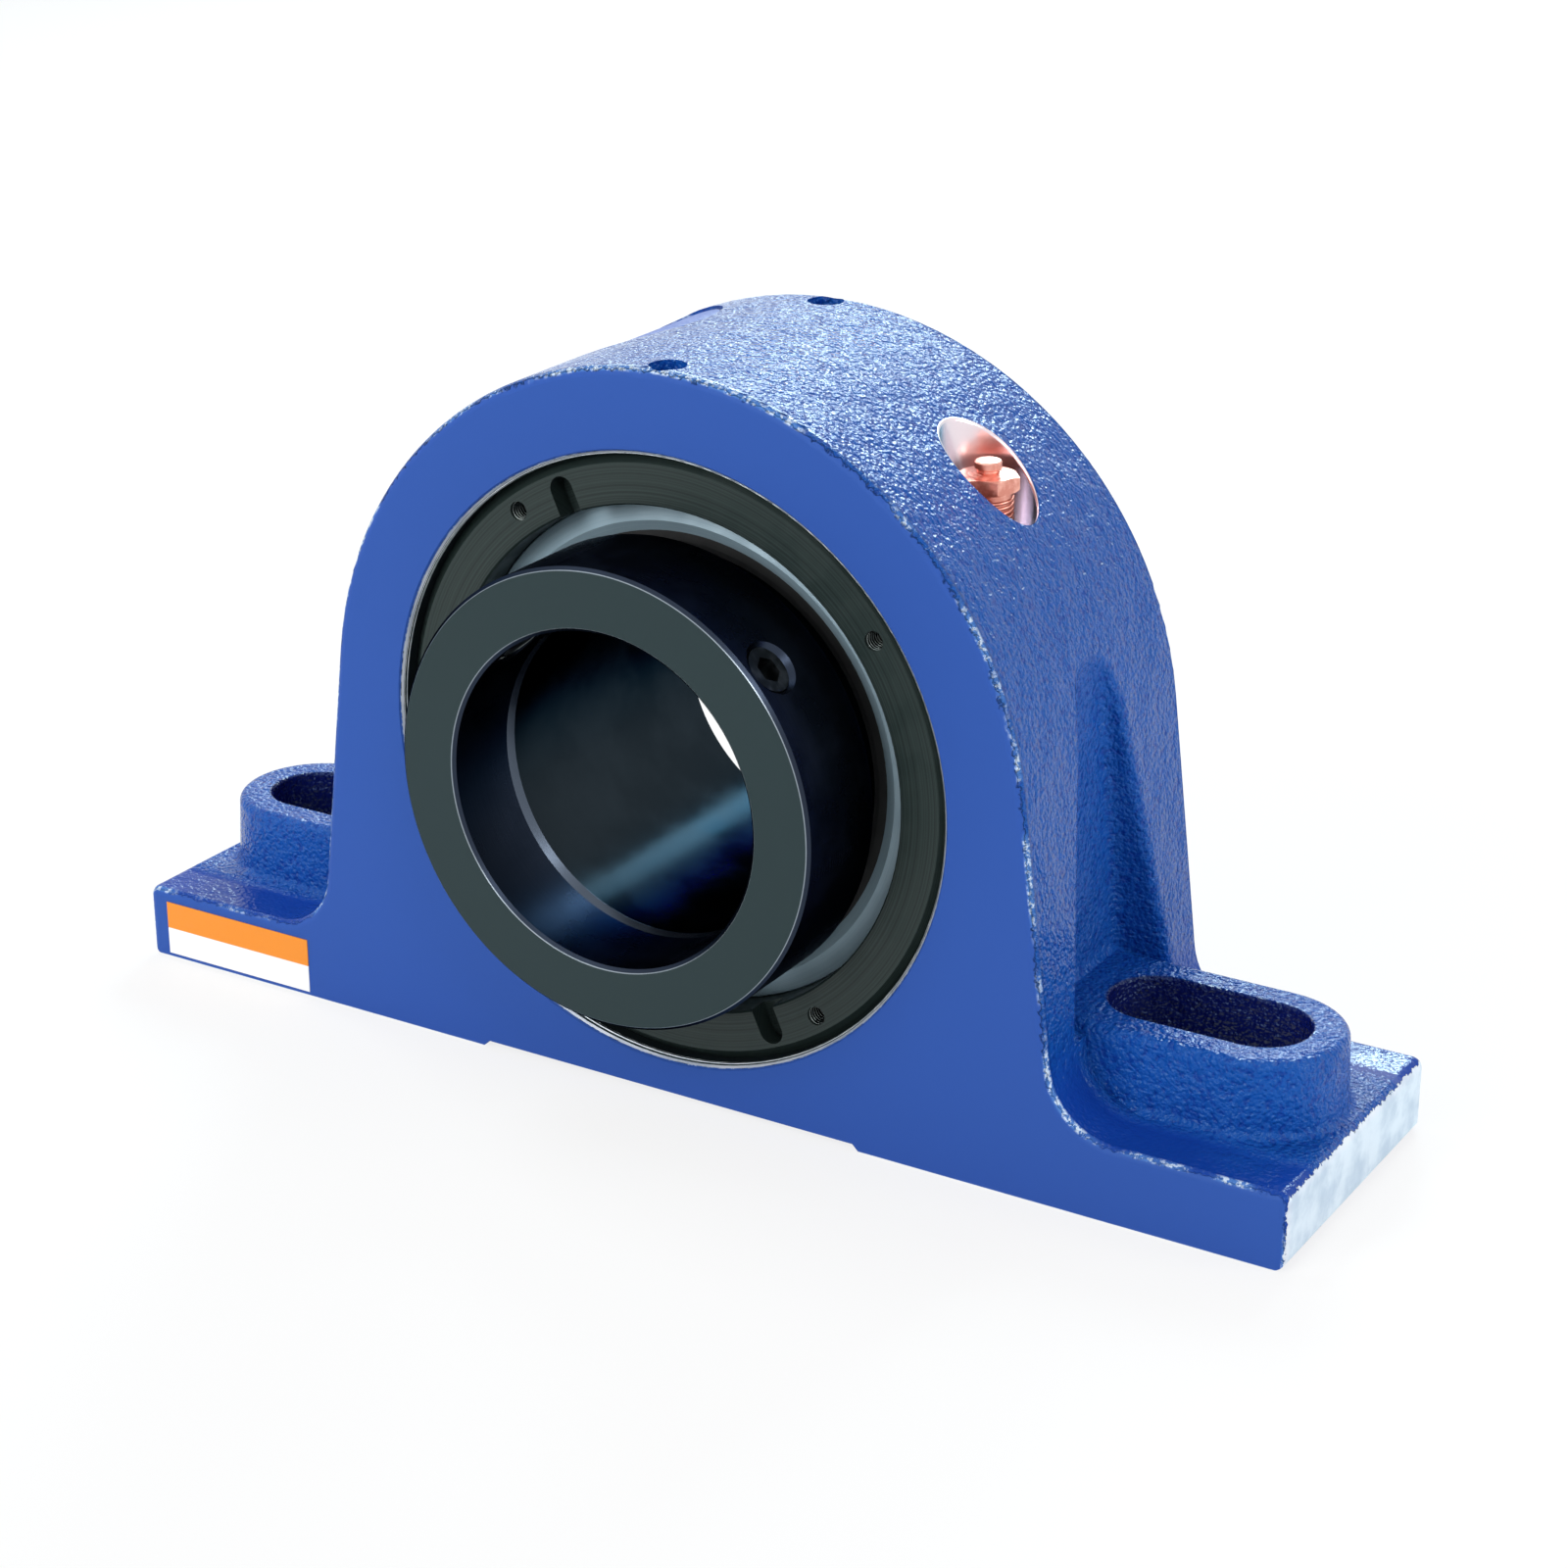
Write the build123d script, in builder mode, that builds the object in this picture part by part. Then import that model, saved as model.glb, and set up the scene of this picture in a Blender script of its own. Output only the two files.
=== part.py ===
from build123d import *
import os
from math import asin, cos, degrees, radians, sin, sqrt, tan

# Two-bolt pillow block with a self-aligning spherical roller insert, in millimetres.
# Origin on the base plane, below the shaft centre and midway across the width.
# The shaft runs along Y, the locking collar is on the -Y side, and Z is up.

# Roller insert
BORE_RADIUS = 45.0
RING_OUTER_RADIUS = 80.0
RING_WIDTH = 40.0
RING_CHAMFER = 2.0
RACE_WALL = 6.5
SPHERE_RADIUS = RING_OUTER_RADIUS - RACE_WALL
LUBE_GROOVE_WIDTH = 8.0
LUBE_GROOVE_DEPTH = 2.0
LUBE_HOLE_RADIUS = 2.5
LUBE_HOLE_COUNT = 4
ROLLER_DIAMETER = 20.0
ROLLER_LENGTH = 14.5
ROLLER_OFFSET = 11.2
ROLLER_ROUNDING = 0.6
ROLLERS_PER_ROW = 17
RACE_CLEARANCE = 0.15

# Housing bores
SEAT_CLEARANCE = 0.05
THREAD_STEP = 3.4
THREAD_BORE_RADIUS = RING_OUTER_RADIUS + THREAD_STEP
THREAD_CLEARANCE = 0.1
BORE_CHAMFER = 1.2

# Housing, overall
BORE_FLOOR = 11.85
SHAFT_HEIGHT = THREAD_BORE_RADIUS + BORE_FLOOR
ARCH_WALL = 22.4
ARCH_RADIUS = THREAD_BORE_RADIUS + ARCH_WALL
HOUSING_WIDTH = 88.9
HALF_WIDTH = HOUSING_WIDTH / 2
FOOT_THICKNESS = 21.1
FLANK_ANGLE = 7.2
FOOT_FILLET = 19.0
CAST_ROUNDING = 2.6
END_ROUNDING_TOP = 3.0
END_ROUNDING_BOTTOM = 3.5
UNDERSIDE_RELIEF_LENGTH = 120.0
UNDERSIDE_RELIEF_DEPTH = 1.8

# Feet
BOLT_REACH = 31.8
BOLT_SPACING = 2 * (ARCH_RADIUS + BOLT_REACH)
SLOT_LENGTH = 54.4
SLOT_WIDTH = 26.0
SLOT_ROUNDING = 1.0
FOOT_END_MARGIN = 15.2
BASE_LENGTH = BOLT_SPACING + SLOT_LENGTH + 2 * FOOT_END_MARGIN
BOSS_HEIGHT = 42.0
BOSS_RIM = 9.5
BOSS_DRAFT = 3.0
BOSS_TOE = 2.4
BOSS_TOE_MARGIN = 0.1
BOSS_ROUNDING = 2.4
BOSS_ROOT = 3.5

# Flank pockets
POCKET_DEPTH = 6.3
POCKET_TOP_INSET = 0.2
POCKET_HALF_WIDTH_TOP = 9.0
POCKET_HALF_WIDTH_BOTTOM = 23.0
POCKET_DRAFT = 14.0
POCKET_ROUNDING = 4.0
RIB_ROUNDING = 3.0

# Grease port on the right shoulder
PORT_X = 68.6
PORT_Y = 3.0
PORT_RADIUS = 12.4
PORT_WALL = 0.85
PORT_ROUNDING = 0.8
PORT_THREAD_RADIUS = 6.5
PORT_THREAD_DEPTH = 8.0
PORT_PASSAGE_RADIUS = 2.5

# Smooth round field on the left shoulder
FIELD_ANGLE = 118.0
FIELD_RADIUS = 29.0
FIELD_Y = 14.0
FIELD_DEPTH = 0.8

# Cover locking screws at the top of the arch
LOCK_SCREW_INSET = 6.05
LOCK_SCREW_RADIUS = 4.0
LOCK_SCREW_LENGTH = 16.0
LOCK_RECESS_RADIUS = 4.9
LOCK_RECESS_DEPTH = 3.2
LOCK_SOCKET_FLATS = 4.0
LOCK_SOCKET_DEPTH = 4.5

# Inner ring
LAND_WALL = 11.0
LAND_RADIUS = BORE_RADIUS + LAND_WALL
RIB_CLEARANCE = 0.3
CENTRE_LAND_HALF_WIDTH = 3.0
RING_FRONT_REACH = 4.75
RING_REAR_SET_BACK = 2.95
RING_BORE_CHAMFER_LENGTH = 3.0
RING_BORE_CHAMFER_DEPTH = 2.2
RING_EDGE_CHAMFER = 1.0
CAM_WALL = 7.0
CAM_OFFSET = 1.0
CAM_CLEARANCE = 0.1

# Guide ring between the roller rows
GUIDE_CAGE_GAP = 1.15
GUIDE_RUNNING_CLEARANCE = 0.25
GUIDE_HALF_WIDTH_INNER = 0.8
GUIDE_HALF_WIDTH_OUTER = 1.85

# Cages
CAGE_THICKNESS = 3.0
CAGE_POCKET_CLEARANCE = 0.3
CAGE_INNER_RIM = 3.2
CAGE_OUTER_RIM = 2.2
CAGE_FLANGE_THICKNESS = 1.4
CAGE_FLANGE_GAP = 1.6

# Locking collar
COLLAR_WALL = 16.8
COLLAR_RADIUS = BORE_RADIUS + COLLAR_WALL
COLLAR_LENGTH = 31.65
COLLAR_SET_BACK = 3.25
COLLAR_BORE_CLEARANCE = 0.1
COLLAR_END_GAP = 0.3
COLLAR_CHAMFER = 1.0
COLLAR_SCREW_INSET = 9.85
COLLAR_SCREW_RADIUS = 6.25
COLLAR_SCREW_CLEARANCE = 0.1
COLLAR_SCREW_COUNTERSINK = 0.8
COLLAR_SCREW_ANGLE = 43.0
COLLAR_SCREW_SPREAD = 90.0
COLLAR_SCREW_SINK = 1.2
COLLAR_SCREW_TIP_GAP = 0.3
COLLAR_SCREW_TIP_SHARE = 0.6
COLLAR_SOCKET_FLATS = 6.4
COLLAR_SOCKET_DEPTH = 6.0

# Covers
COVER_SET_BACK = 3.35
COVER_COLLAR_GAP = 7.4
COVER_BORE_RADIUS = COLLAR_RADIUS + COVER_COLLAR_GAP
COVER_SEAT_RISE = 6.4
COVER_SEAT_INSET = 3.6
COVER_SKIRT_STEP = 2.8
COVER_FACE_CHAMFER = 3.0
COVER_EDGE_CHAMFER = 0.5
COVER_END_GAP = 0.15
COVER_HOLE_INSET = 7.3
COVER_HOLE_RADIUS = 2.6
COVER_HOLE_DEPTH = 10.0
COVER_HOLE_COUNT = 4
COVER_HOLE_ANGLE = 36.4
NOTCH_WIDTH = 7.0
NOTCH_INSET = 3.9
NOTCH_DEPTH = 6.0
NOTCH_COUNT = 2
NOTCH_ANGLE = 114.4
GASKET_SECTION = 2.2
GASKET_GROOVE_WIDTH = 3.2
GASKET_INSET = 6.0

# Seals
SEAL_CLEARANCE = 0.15
SEAL_RIM_INSET = 1.2
SEAL_RIM_WIDTH = 6.2
SEAL_DISH = 2.2
SEAL_LIP_STEP = 1.6
SEAL_HUB_WALL = 3.0
SEAL_PLATE = 2.0
LIP_BODY_HEIGHT = 4.2
LIP_HEIGHT = 1.8
LIP_INSET = 0.2
LIP_WIDTH = 1.5
LIP_COUNT = 3
LIP_CLEARANCE = 0.15

# Grease fitting
FITTING_THREAD_CLEARANCE = 0.1
FITTING_BOTTOM_GAP = 1.0
FITTING_HEX_FLATS = 14.3
FITTING_HEX_RISE = 15.0
FITTING_HEX_HEIGHT = 4.0
FITTING_HEX_TURN = 15.0
FITTING_NECK_RADIUS = 3.0
FITTING_HEAD_RADIUS = 3.5
FITTING_HEAD_HEIGHT = 1.9
FITTING_RISE = 18.5
FITTING_BEVEL = 0.35

# Label on the left end of the base front
LABEL_END_GAP = 6.7
LABEL_LENGTH = 52.0
LABEL_BOTTOM = 1.2
LABEL_HEIGHT = 16.2
LABEL_THICKNESS = 0.25

SHAFT_AXIS = Axis((0, 0, SHAFT_HEIGHT), (0, 1, 0))
RADIAL_PLANE = Plane.XY.offset(SHAFT_HEIGHT)


def about_shaft(angle):
    """Location that turns a piece standing on +X to an angle about the shaft."""
    centre = Location((0, 0, SHAFT_HEIGHT))
    return centre * Location((0, 0, 0), (0, -angle, 0)) * centre.inverse()


def shaft_circle(count, start=0.0):
    """Evenly spaced locations about the shaft."""
    return [about_shaft(start + 360.0 * step / count) for step in range(count)]


def radial_plane(angle, y=0.0, radius=0.0):
    """Plane facing outwards from the shaft, its local Y along the shaft."""
    outwards = Vector(cos(radians(angle)), 0, sin(radians(angle)))
    origin = Vector(0, y, SHAFT_HEIGHT) + outwards * radius
    return Plane(origin=origin, x_dir=Vector(0, 1, 0).cross(outwards), z_dir=outwards)


def ring(points):
    """Closed straight-sided profile in radius and distance along the shaft, turned about the shaft."""
    with BuildPart() as turned:
        with BuildSketch(RADIAL_PLANE):
            with BuildLine():
                Polyline(*points, close=True)
            make_face()
        revolve(axis=SHAFT_AXIS)
    return turned.part


def twin(part):
    """The same piece on the other side of the bearing's middle plane."""
    with BuildPart() as mirrored:
        mirror(part, about=Plane.XZ)
    return mirrored.part


# Housing casting
port_floor = SHAFT_HEIGHT + sqrt((THREAD_BORE_RADIUS + PORT_WALL) ** 2 - (PORT_X - PORT_RADIUS) ** 2)
pocket_floor = ARCH_RADIUS - POCKET_DEPTH
pocket_top = SHAFT_HEIGHT + sqrt(ARCH_RADIUS**2 - pocket_floor**2) - POCKET_TOP_INSET
lock_screw_y = HALF_WIDTH - LOCK_SCREW_INSET
flank_top_x = ARCH_RADIUS * cos(radians(FLANK_ANGLE))
flank_top_z = SHAFT_HEIGHT + ARCH_RADIUS * sin(radians(FLANK_ANGLE))
flank_foot_x = flank_top_x + (flank_top_z - FOOT_THICKNESS) * tan(radians(FLANK_ANGLE))
ring_seat_radius = RING_OUTER_RADIUS + SEAT_CLEARANCE
seat_half_width = RING_WIDTH / 2
arch_top = SHAFT_HEIGHT + ARCH_RADIUS
boss_half_width = SLOT_WIDTH / 2 + BOSS_RIM
boss_straight = (SLOT_LENGTH - SLOT_WIDTH) / 2


def is_rib_edge(edge):
    """Whether an edge lies between a flank or the arch and the side of a flank pocket."""
    middle = edge @ 0.5
    if middle.Z > flank_top_z:
        off_surface = sqrt(middle.X**2 + (middle.Z - SHAFT_HEIGHT) ** 2) - ARCH_RADIUS
    else:
        off_surface = abs(middle.X) - flank_top_x - (flank_top_z - middle.Z) * tan(radians(FLANK_ANGLE))
    beside_pocket = abs(middle.Y) < POCKET_HALF_WIDTH_BOTTOM + RIB_ROUNDING
    return abs(off_surface) < 0.02 and beside_pocket and BOSS_HEIGHT < middle.Z < pocket_top + 2 * RIB_ROUNDING


def is_slot_rim(edge):
    """Whether an edge lies between a boss top and the wall of its bolt slot."""
    middle = edge @ 0.5
    beside = abs(middle.Y) < SLOT_WIDTH / 2 + 0.1
    along = abs(abs(middle.X) - BOLT_SPACING / 2) < SLOT_LENGTH / 2 + 0.1
    return beside and along and abs(middle.Z - BOSS_HEIGHT) < 0.01


def is_port_rim(edge):
    """Whether an edge lies between the grease port's wall and the arch."""
    points = [edge @ share for share in (0.1, 0.5, 0.9)]
    off_wall = [abs(sqrt((at.X - PORT_X) ** 2 + (at.Y - PORT_Y) ** 2) - PORT_RADIUS) for at in points]
    off_arch = [abs(sqrt(at.X**2 + (at.Z - SHAFT_HEIGHT) ** 2) - ARCH_RADIUS) for at in points]
    return max(off_wall + off_arch) < 0.02


# Bolt boss on a pad of its foot, with a rounded rim and toe
boss_start = pocket_floor - BOSS_ROOT
boss_end = BOLT_SPACING / 2 + boss_straight
boss_foot_growth = (BOSS_HEIGHT - FOOT_THICKNESS) * tan(radians(BOSS_DRAFT))
pad_reach = boss_half_width + boss_foot_growth + BOSS_TOE + BOSS_TOE_MARGIN
pad_end = boss_end + pad_reach

with BuildPart() as boss:
    with BuildSketch(Plane.XY.offset(BOSS_HEIGHT)):
        with Locations((boss_end, 0)):
            Circle(boss_half_width)
        with Locations(((boss_start + boss_end) / 2, 0)):
            Rectangle(boss_end - boss_start, 2 * boss_half_width)
    extrude(amount=FOOT_THICKNESS / 2 - BOSS_HEIGHT, taper=-BOSS_DRAFT)
    boss_rim = boss.faces().sort_by(Axis.Z)[-1].edges().sort_by(Axis.X)[1:]
    fillet(boss_rim, BOSS_ROUNDING)
    with BuildSketch(Plane.XY.offset(FOOT_THICKNESS)):
        with Locations(((boss_start + pad_end) / 2, 0)):
            Rectangle(pad_end - boss_start, 2 * pad_reach)
    extrude(amount=-FOOT_THICKNESS / 2)
    pad_top = boss.faces().filter_by_position(Axis.Z, FOOT_THICKNESS, FOOT_THICKNESS)[0]
    boss_toe = pad_top.edges().filter_by(lambda edge: edge.center().X < pad_end - BOSS_TOE / 4)
    boss_toe = boss_toe.filter_by(lambda edge: abs(edge.center().Y) < pad_reach - BOSS_TOE / 4)
    fillet(boss_toe.filter_by(lambda edge: edge.center().X > boss_start + BOSS_TOE), BOSS_TOE)

# Pocket in a flank, between the front and the back rib
pocket_plane = Plane(origin=(pocket_floor, 0, 0), x_dir=(0, 1, 0), z_dir=(1, 0, 0))
pocket_shoulder = pocket_top - POCKET_HALF_WIDTH_TOP

with BuildPart() as flank_pocket:
    with BuildSketch(pocket_plane):
        with BuildLine():
            Polyline(
                (POCKET_HALF_WIDTH_TOP, pocket_shoulder),
                (POCKET_HALF_WIDTH_BOTTOM, BOSS_HEIGHT),
                (-POCKET_HALF_WIDTH_BOTTOM, BOSS_HEIGHT),
                (-POCKET_HALF_WIDTH_TOP, pocket_shoulder),
            )
            ThreePointArc(
                (-POCKET_HALF_WIDTH_TOP, pocket_shoulder),
                (0, pocket_top),
                (POCKET_HALF_WIDTH_TOP, pocket_shoulder),
            )
        make_face()
    extrude(amount=flank_foot_x + FOOT_FILLET / 2 - pocket_floor, taper=-POCKET_DRAFT)
    fillet(flank_pocket.faces().sort_by(Axis.X)[0].edges(), POCKET_ROUNDING)

# Smooth round field on the shoulder, with a floor that follows the arch
field_floor = ARCH_RADIUS - FIELD_DEPTH
field_reach = ARCH_RADIUS + FIELD_DEPTH

with BuildPart() as shoulder_field:
    add(
        ring(
            [
                (field_floor, -HALF_WIDTH),
                (field_reach, -HALF_WIDTH),
                (field_reach, HALF_WIDTH),
                (field_floor, HALF_WIDTH),
            ]
        )
    )
    with BuildSketch(radial_plane(FIELD_ANGLE, FIELD_Y, THREAD_BORE_RADIUS)):
        Circle(FIELD_RADIUS)
    extrude(amount=2 * ARCH_WALL, mode=Mode.INTERSECT)

with BuildPart() as housing:
    # Block: base, flared flanks and arch
    with BuildSketch(Plane.XZ) as front_outline:
        with BuildLine():
            Polyline(
                (-flank_top_x, flank_top_z),
                (-flank_foot_x, FOOT_THICKNESS),
                (-BASE_LENGTH / 2, FOOT_THICKNESS),
                (-BASE_LENGTH / 2, 0),
                (BASE_LENGTH / 2, 0),
                (BASE_LENGTH / 2, FOOT_THICKNESS),
                (flank_foot_x, FOOT_THICKNESS),
                (flank_top_x, flank_top_z),
            )
            ThreePointArc((flank_top_x, flank_top_z), (0, arch_top), (-flank_top_x, flank_top_z))
        make_face()
        fillet(front_outline.vertices().group_by(Axis.Y)[1].sort_by(Axis.X)[1:3], FOOT_FILLET)
        fillet(front_outline.vertices().group_by(Axis.X)[0].sort_by(Axis.Y)[-1:], END_ROUNDING_TOP)
        fillet(front_outline.vertices().group_by(Axis.X)[-1].sort_by(Axis.Y)[-1:], END_ROUNDING_TOP)
    extrude(amount=HALF_WIDTH, both=True)
    side_edges = housing.faces().filter_by(Axis.Y).edges()
    fillet(side_edges.filter_by(lambda edge: edge.center().Z > FOOT_THICKNESS / 4), CAST_ROUNDING)
    with BuildSketch(Plane.XZ) as end_trim:
        Rectangle(BASE_LENGTH, arch_top, align=(Align.CENTER, Align.MIN))
        fillet(end_trim.vertices().group_by(Axis.Y)[0], END_ROUNDING_BOTTOM)
    extrude(amount=HALF_WIDTH, both=True, mode=Mode.INTERSECT)

    # Flank pockets with rounded ribs, then the bolt bosses
    add(flank_pocket.part, mode=Mode.SUBTRACT)
    mirror(flank_pocket.part, about=Plane.YZ, mode=Mode.SUBTRACT)
    rib_edges = housing.edges().filter_by(is_rib_edge)
    fillet(rib_edges, RIB_ROUNDING)
    add(boss.part)
    mirror(boss.part, about=Plane.YZ)

    # Bores for the outer ring and the two threaded covers
    with BuildSketch(RADIAL_PLANE):
        with BuildLine():
            Polyline(
                (0, -HALF_WIDTH),
                (THREAD_BORE_RADIUS + BORE_CHAMFER, -HALF_WIDTH),
                (THREAD_BORE_RADIUS, -HALF_WIDTH + BORE_CHAMFER),
                (THREAD_BORE_RADIUS, -seat_half_width),
                (ring_seat_radius, -seat_half_width),
                (ring_seat_radius, seat_half_width),
                (THREAD_BORE_RADIUS, seat_half_width),
                (THREAD_BORE_RADIUS, HALF_WIDTH - BORE_CHAMFER),
                (THREAD_BORE_RADIUS + BORE_CHAMFER, HALF_WIDTH),
                (0, HALF_WIDTH),
                close=True,
            )
        make_face()
    revolve(axis=SHAFT_AXIS, mode=Mode.SUBTRACT)

    # Bolt slots
    with BuildSketch():
        with Locations((-BOLT_SPACING / 2, 0), (BOLT_SPACING / 2, 0)):
            SlotOverall(SLOT_LENGTH, SLOT_WIDTH)
    extrude(amount=BOSS_HEIGHT, mode=Mode.SUBTRACT)
    fillet(housing.edges().filter_by(is_slot_rim), SLOT_ROUNDING)

    # Field on the left shoulder
    add(shoulder_field.part, mode=Mode.SUBTRACT)

    # Grease port: vertical pocket, tapped hole and passage to the ring seat
    with BuildSketch(Plane.XY.offset(port_floor)):
        with Locations((PORT_X, PORT_Y)):
            Circle(PORT_RADIUS)
    extrude(amount=ARCH_RADIUS, mode=Mode.SUBTRACT)
    fillet(housing.edges().filter_by(is_port_rim), PORT_ROUNDING)
    with BuildSketch(Plane.XY.offset(port_floor)):
        with Locations((PORT_X, PORT_Y)):
            Circle(PORT_THREAD_RADIUS)
    extrude(amount=-PORT_THREAD_DEPTH, mode=Mode.SUBTRACT)
    with BuildSketch(Plane.XY.offset(SHAFT_HEIGHT)):
        with Locations((PORT_X, PORT_Y)):
            Circle(PORT_PASSAGE_RADIUS)
    extrude(amount=port_floor - SHAFT_HEIGHT, mode=Mode.SUBTRACT)

    # Tapped and recessed holes for the cover locking screws
    for y in (-lock_screw_y, lock_screw_y):
        with BuildSketch(radial_plane(90, y, THREAD_BORE_RADIUS - BORE_CHAMFER)):
            Circle(LOCK_SCREW_RADIUS + THREAD_CLEARANCE)
        extrude(amount=ARCH_RADIUS - THREAD_BORE_RADIUS, mode=Mode.SUBTRACT)
        with BuildSketch(radial_plane(90, y, ARCH_RADIUS - LOCK_RECESS_DEPTH)):
            Circle(LOCK_RECESS_RADIUS)
        extrude(amount=LOCK_RECESS_DEPTH, mode=Mode.SUBTRACT)

    # Relief under the middle of the base
    with BuildSketch(Plane.XZ):
        with BuildLine():
            half_relief = UNDERSIDE_RELIEF_LENGTH / 2
            Polyline(
                (-half_relief, 0),
                (-half_relief + UNDERSIDE_RELIEF_DEPTH, UNDERSIDE_RELIEF_DEPTH),
                (half_relief - UNDERSIDE_RELIEF_DEPTH, UNDERSIDE_RELIEF_DEPTH),
                (half_relief, 0),
                close=True,
            )
        make_face()
    extrude(amount=HALF_WIDTH, both=True, mode=Mode.SUBTRACT)

housing.part.label = "housing"


# Places along the shaft
cover_face = HALF_WIDTH - COVER_SET_BACK
collar_back = HALF_WIDTH - COLLAR_SET_BACK
collar_front = collar_back + COLLAR_LENGTH
collar_screw_y = collar_front - COLLAR_SCREW_INSET
ring_front = HALF_WIDTH + RING_FRONT_REACH
ring_rear = HALF_WIDTH - RING_REAR_SET_BACK
gasket_place = seat_half_width + GASKET_INSET
seat_end = seat_half_width + COVER_SEAT_INSET
seal_rim_back = seat_end + SEAL_RIM_INSET
seal_rim_front = seal_rim_back + SEAL_RIM_WIDTH
seal_face = seal_rim_front + SEAL_DISH

# Outer ring with a spherical raceway, lubrication groove and holes
race_edge_radius = sqrt(SPHERE_RADIUS**2 - seat_half_width**2)

with BuildPart() as outer_ring:
    with BuildSketch(RADIAL_PLANE):
        with BuildLine():
            Polyline(
                (race_edge_radius, seat_half_width),
                (RING_OUTER_RADIUS - RING_CHAMFER, seat_half_width),
                (RING_OUTER_RADIUS, seat_half_width - RING_CHAMFER),
                (RING_OUTER_RADIUS, LUBE_GROOVE_WIDTH / 2),
                (RING_OUTER_RADIUS - LUBE_GROOVE_DEPTH, LUBE_GROOVE_WIDTH / 2 - LUBE_GROOVE_DEPTH / 2),
                (RING_OUTER_RADIUS - LUBE_GROOVE_DEPTH, -LUBE_GROOVE_WIDTH / 2 + LUBE_GROOVE_DEPTH / 2),
                (RING_OUTER_RADIUS, -LUBE_GROOVE_WIDTH / 2),
                (RING_OUTER_RADIUS, -seat_half_width + RING_CHAMFER),
                (RING_OUTER_RADIUS - RING_CHAMFER, -seat_half_width),
                (race_edge_radius, -seat_half_width),
            )
            ThreePointArc(
                (race_edge_radius, -seat_half_width), (SPHERE_RADIUS, 0), (race_edge_radius, seat_half_width)
            )
        make_face()
    revolve(axis=SHAFT_AXIS)
    for step in range(LUBE_HOLE_COUNT):
        with BuildSketch(radial_plane(45 + 360 * step / LUBE_HOLE_COUNT)):
            Circle(LUBE_HOLE_RADIUS)
        extrude(amount=RING_OUTER_RADIUS, mode=Mode.SUBTRACT)
outer_ring.part.label = "outer_ring"

# Barrel rollers, tilted so that they follow the spherical raceway
meridian_radius = SPHERE_RADIUS - RACE_CLEARANCE
roller_reach = meridian_radius - ROLLER_DIAMETER / 2
contact_angle = degrees(asin(ROLLER_OFFSET / roller_reach))
pitch_radius = roller_reach * cos(radians(contact_angle))
roller_tilt = Vector(-sin(radians(contact_angle)), cos(radians(contact_angle)), 0)
roller_outwards = Vector(cos(radians(contact_angle)), sin(radians(contact_angle)), 0)
roller_plane = Plane(
    origin=(pitch_radius, ROLLER_OFFSET, SHAFT_HEIGHT), x_dir=roller_outwards, z_dir=(0, 0, 1)
)
roller_axis = Axis(roller_plane.origin, roller_tilt)
roller_end_radius = sqrt(meridian_radius**2 - (ROLLER_LENGTH / 2) ** 2) - roller_reach


def beside_roller(outwards, along):
    """Radius and shaft distance of a point given outwards and along the roller's axis from its centre."""
    point = Vector(pitch_radius, ROLLER_OFFSET, 0) + roller_outwards * outwards + roller_tilt * along
    return (point.X, point.Y)


with BuildPart() as roller:
    with BuildSketch(roller_plane) as roller_profile:
        with BuildLine():
            Polyline(
                (roller_end_radius, ROLLER_LENGTH / 2),
                (0, ROLLER_LENGTH / 2),
                (0, -ROLLER_LENGTH / 2),
                (roller_end_radius, -ROLLER_LENGTH / 2),
            )
            ThreePointArc(
                (roller_end_radius, -ROLLER_LENGTH / 2),
                (ROLLER_DIAMETER / 2, 0),
                (roller_end_radius, ROLLER_LENGTH / 2),
            )
        make_face()
        fillet(roller_profile.vertices().group_by(Axis.X)[-1], ROLLER_ROUNDING)
    revolve(axis=roller_axis)

with BuildPart() as roller_space:
    with BuildSketch(roller_plane):
        with Locations((ROLLER_DIAMETER / 4 + CAGE_POCKET_CLEARANCE / 2, 0)):
            Rectangle(
                ROLLER_DIAMETER / 2 + CAGE_POCKET_CLEARANCE, ROLLER_LENGTH + 2 * CAGE_POCKET_CLEARANCE
            )
    revolve(axis=roller_axis)

with BuildPart() as rear_rollers:
    with Locations(*shaft_circle(ROLLERS_PER_ROW)):
        add(roller.part)
rear_rollers.part.label = "rear_rollers"

# The front row stands half a pitch round from the rear row
half_pitch = 180.0 / ROLLERS_PER_ROW
with BuildPart() as front_rollers:
    with Locations(about_shaft(half_pitch)):
        add(twin(rear_rollers.part))
front_rollers.part.label = "front_rollers"

# Window cages
rim_start = ROLLER_LENGTH / 2 + CAGE_POCKET_CLEARANCE
flange_end = rim_start + CAGE_OUTER_RIM
flange_start = flange_end - CAGE_FLANGE_THICKNESS
flange_reach = (LAND_RADIUS + CAGE_FLANGE_GAP - beside_roller(0, flange_end)[0]) / roller_outwards.X

with BuildPart() as rear_cage:
    add(
        ring(
            [
                beside_roller(-CAGE_THICKNESS / 2, -rim_start - CAGE_INNER_RIM),
                beside_roller(CAGE_THICKNESS / 2, -rim_start - CAGE_INNER_RIM),
                beside_roller(CAGE_THICKNESS / 2, flange_end),
                beside_roller(flange_reach, flange_end),
                beside_roller(flange_reach, flange_start),
                beside_roller(-CAGE_THICKNESS / 2, flange_start),
            ]
        )
    )
    with Locations(*shaft_circle(ROLLERS_PER_ROW)):
        add(roller_space.part, mode=Mode.SUBTRACT)
rear_cage.part.label = "rear_cage"

with BuildPart() as front_cage:
    with Locations(about_shaft(half_pitch)):
        add(twin(rear_cage.part))
front_cage.part.label = "front_cage"

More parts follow.
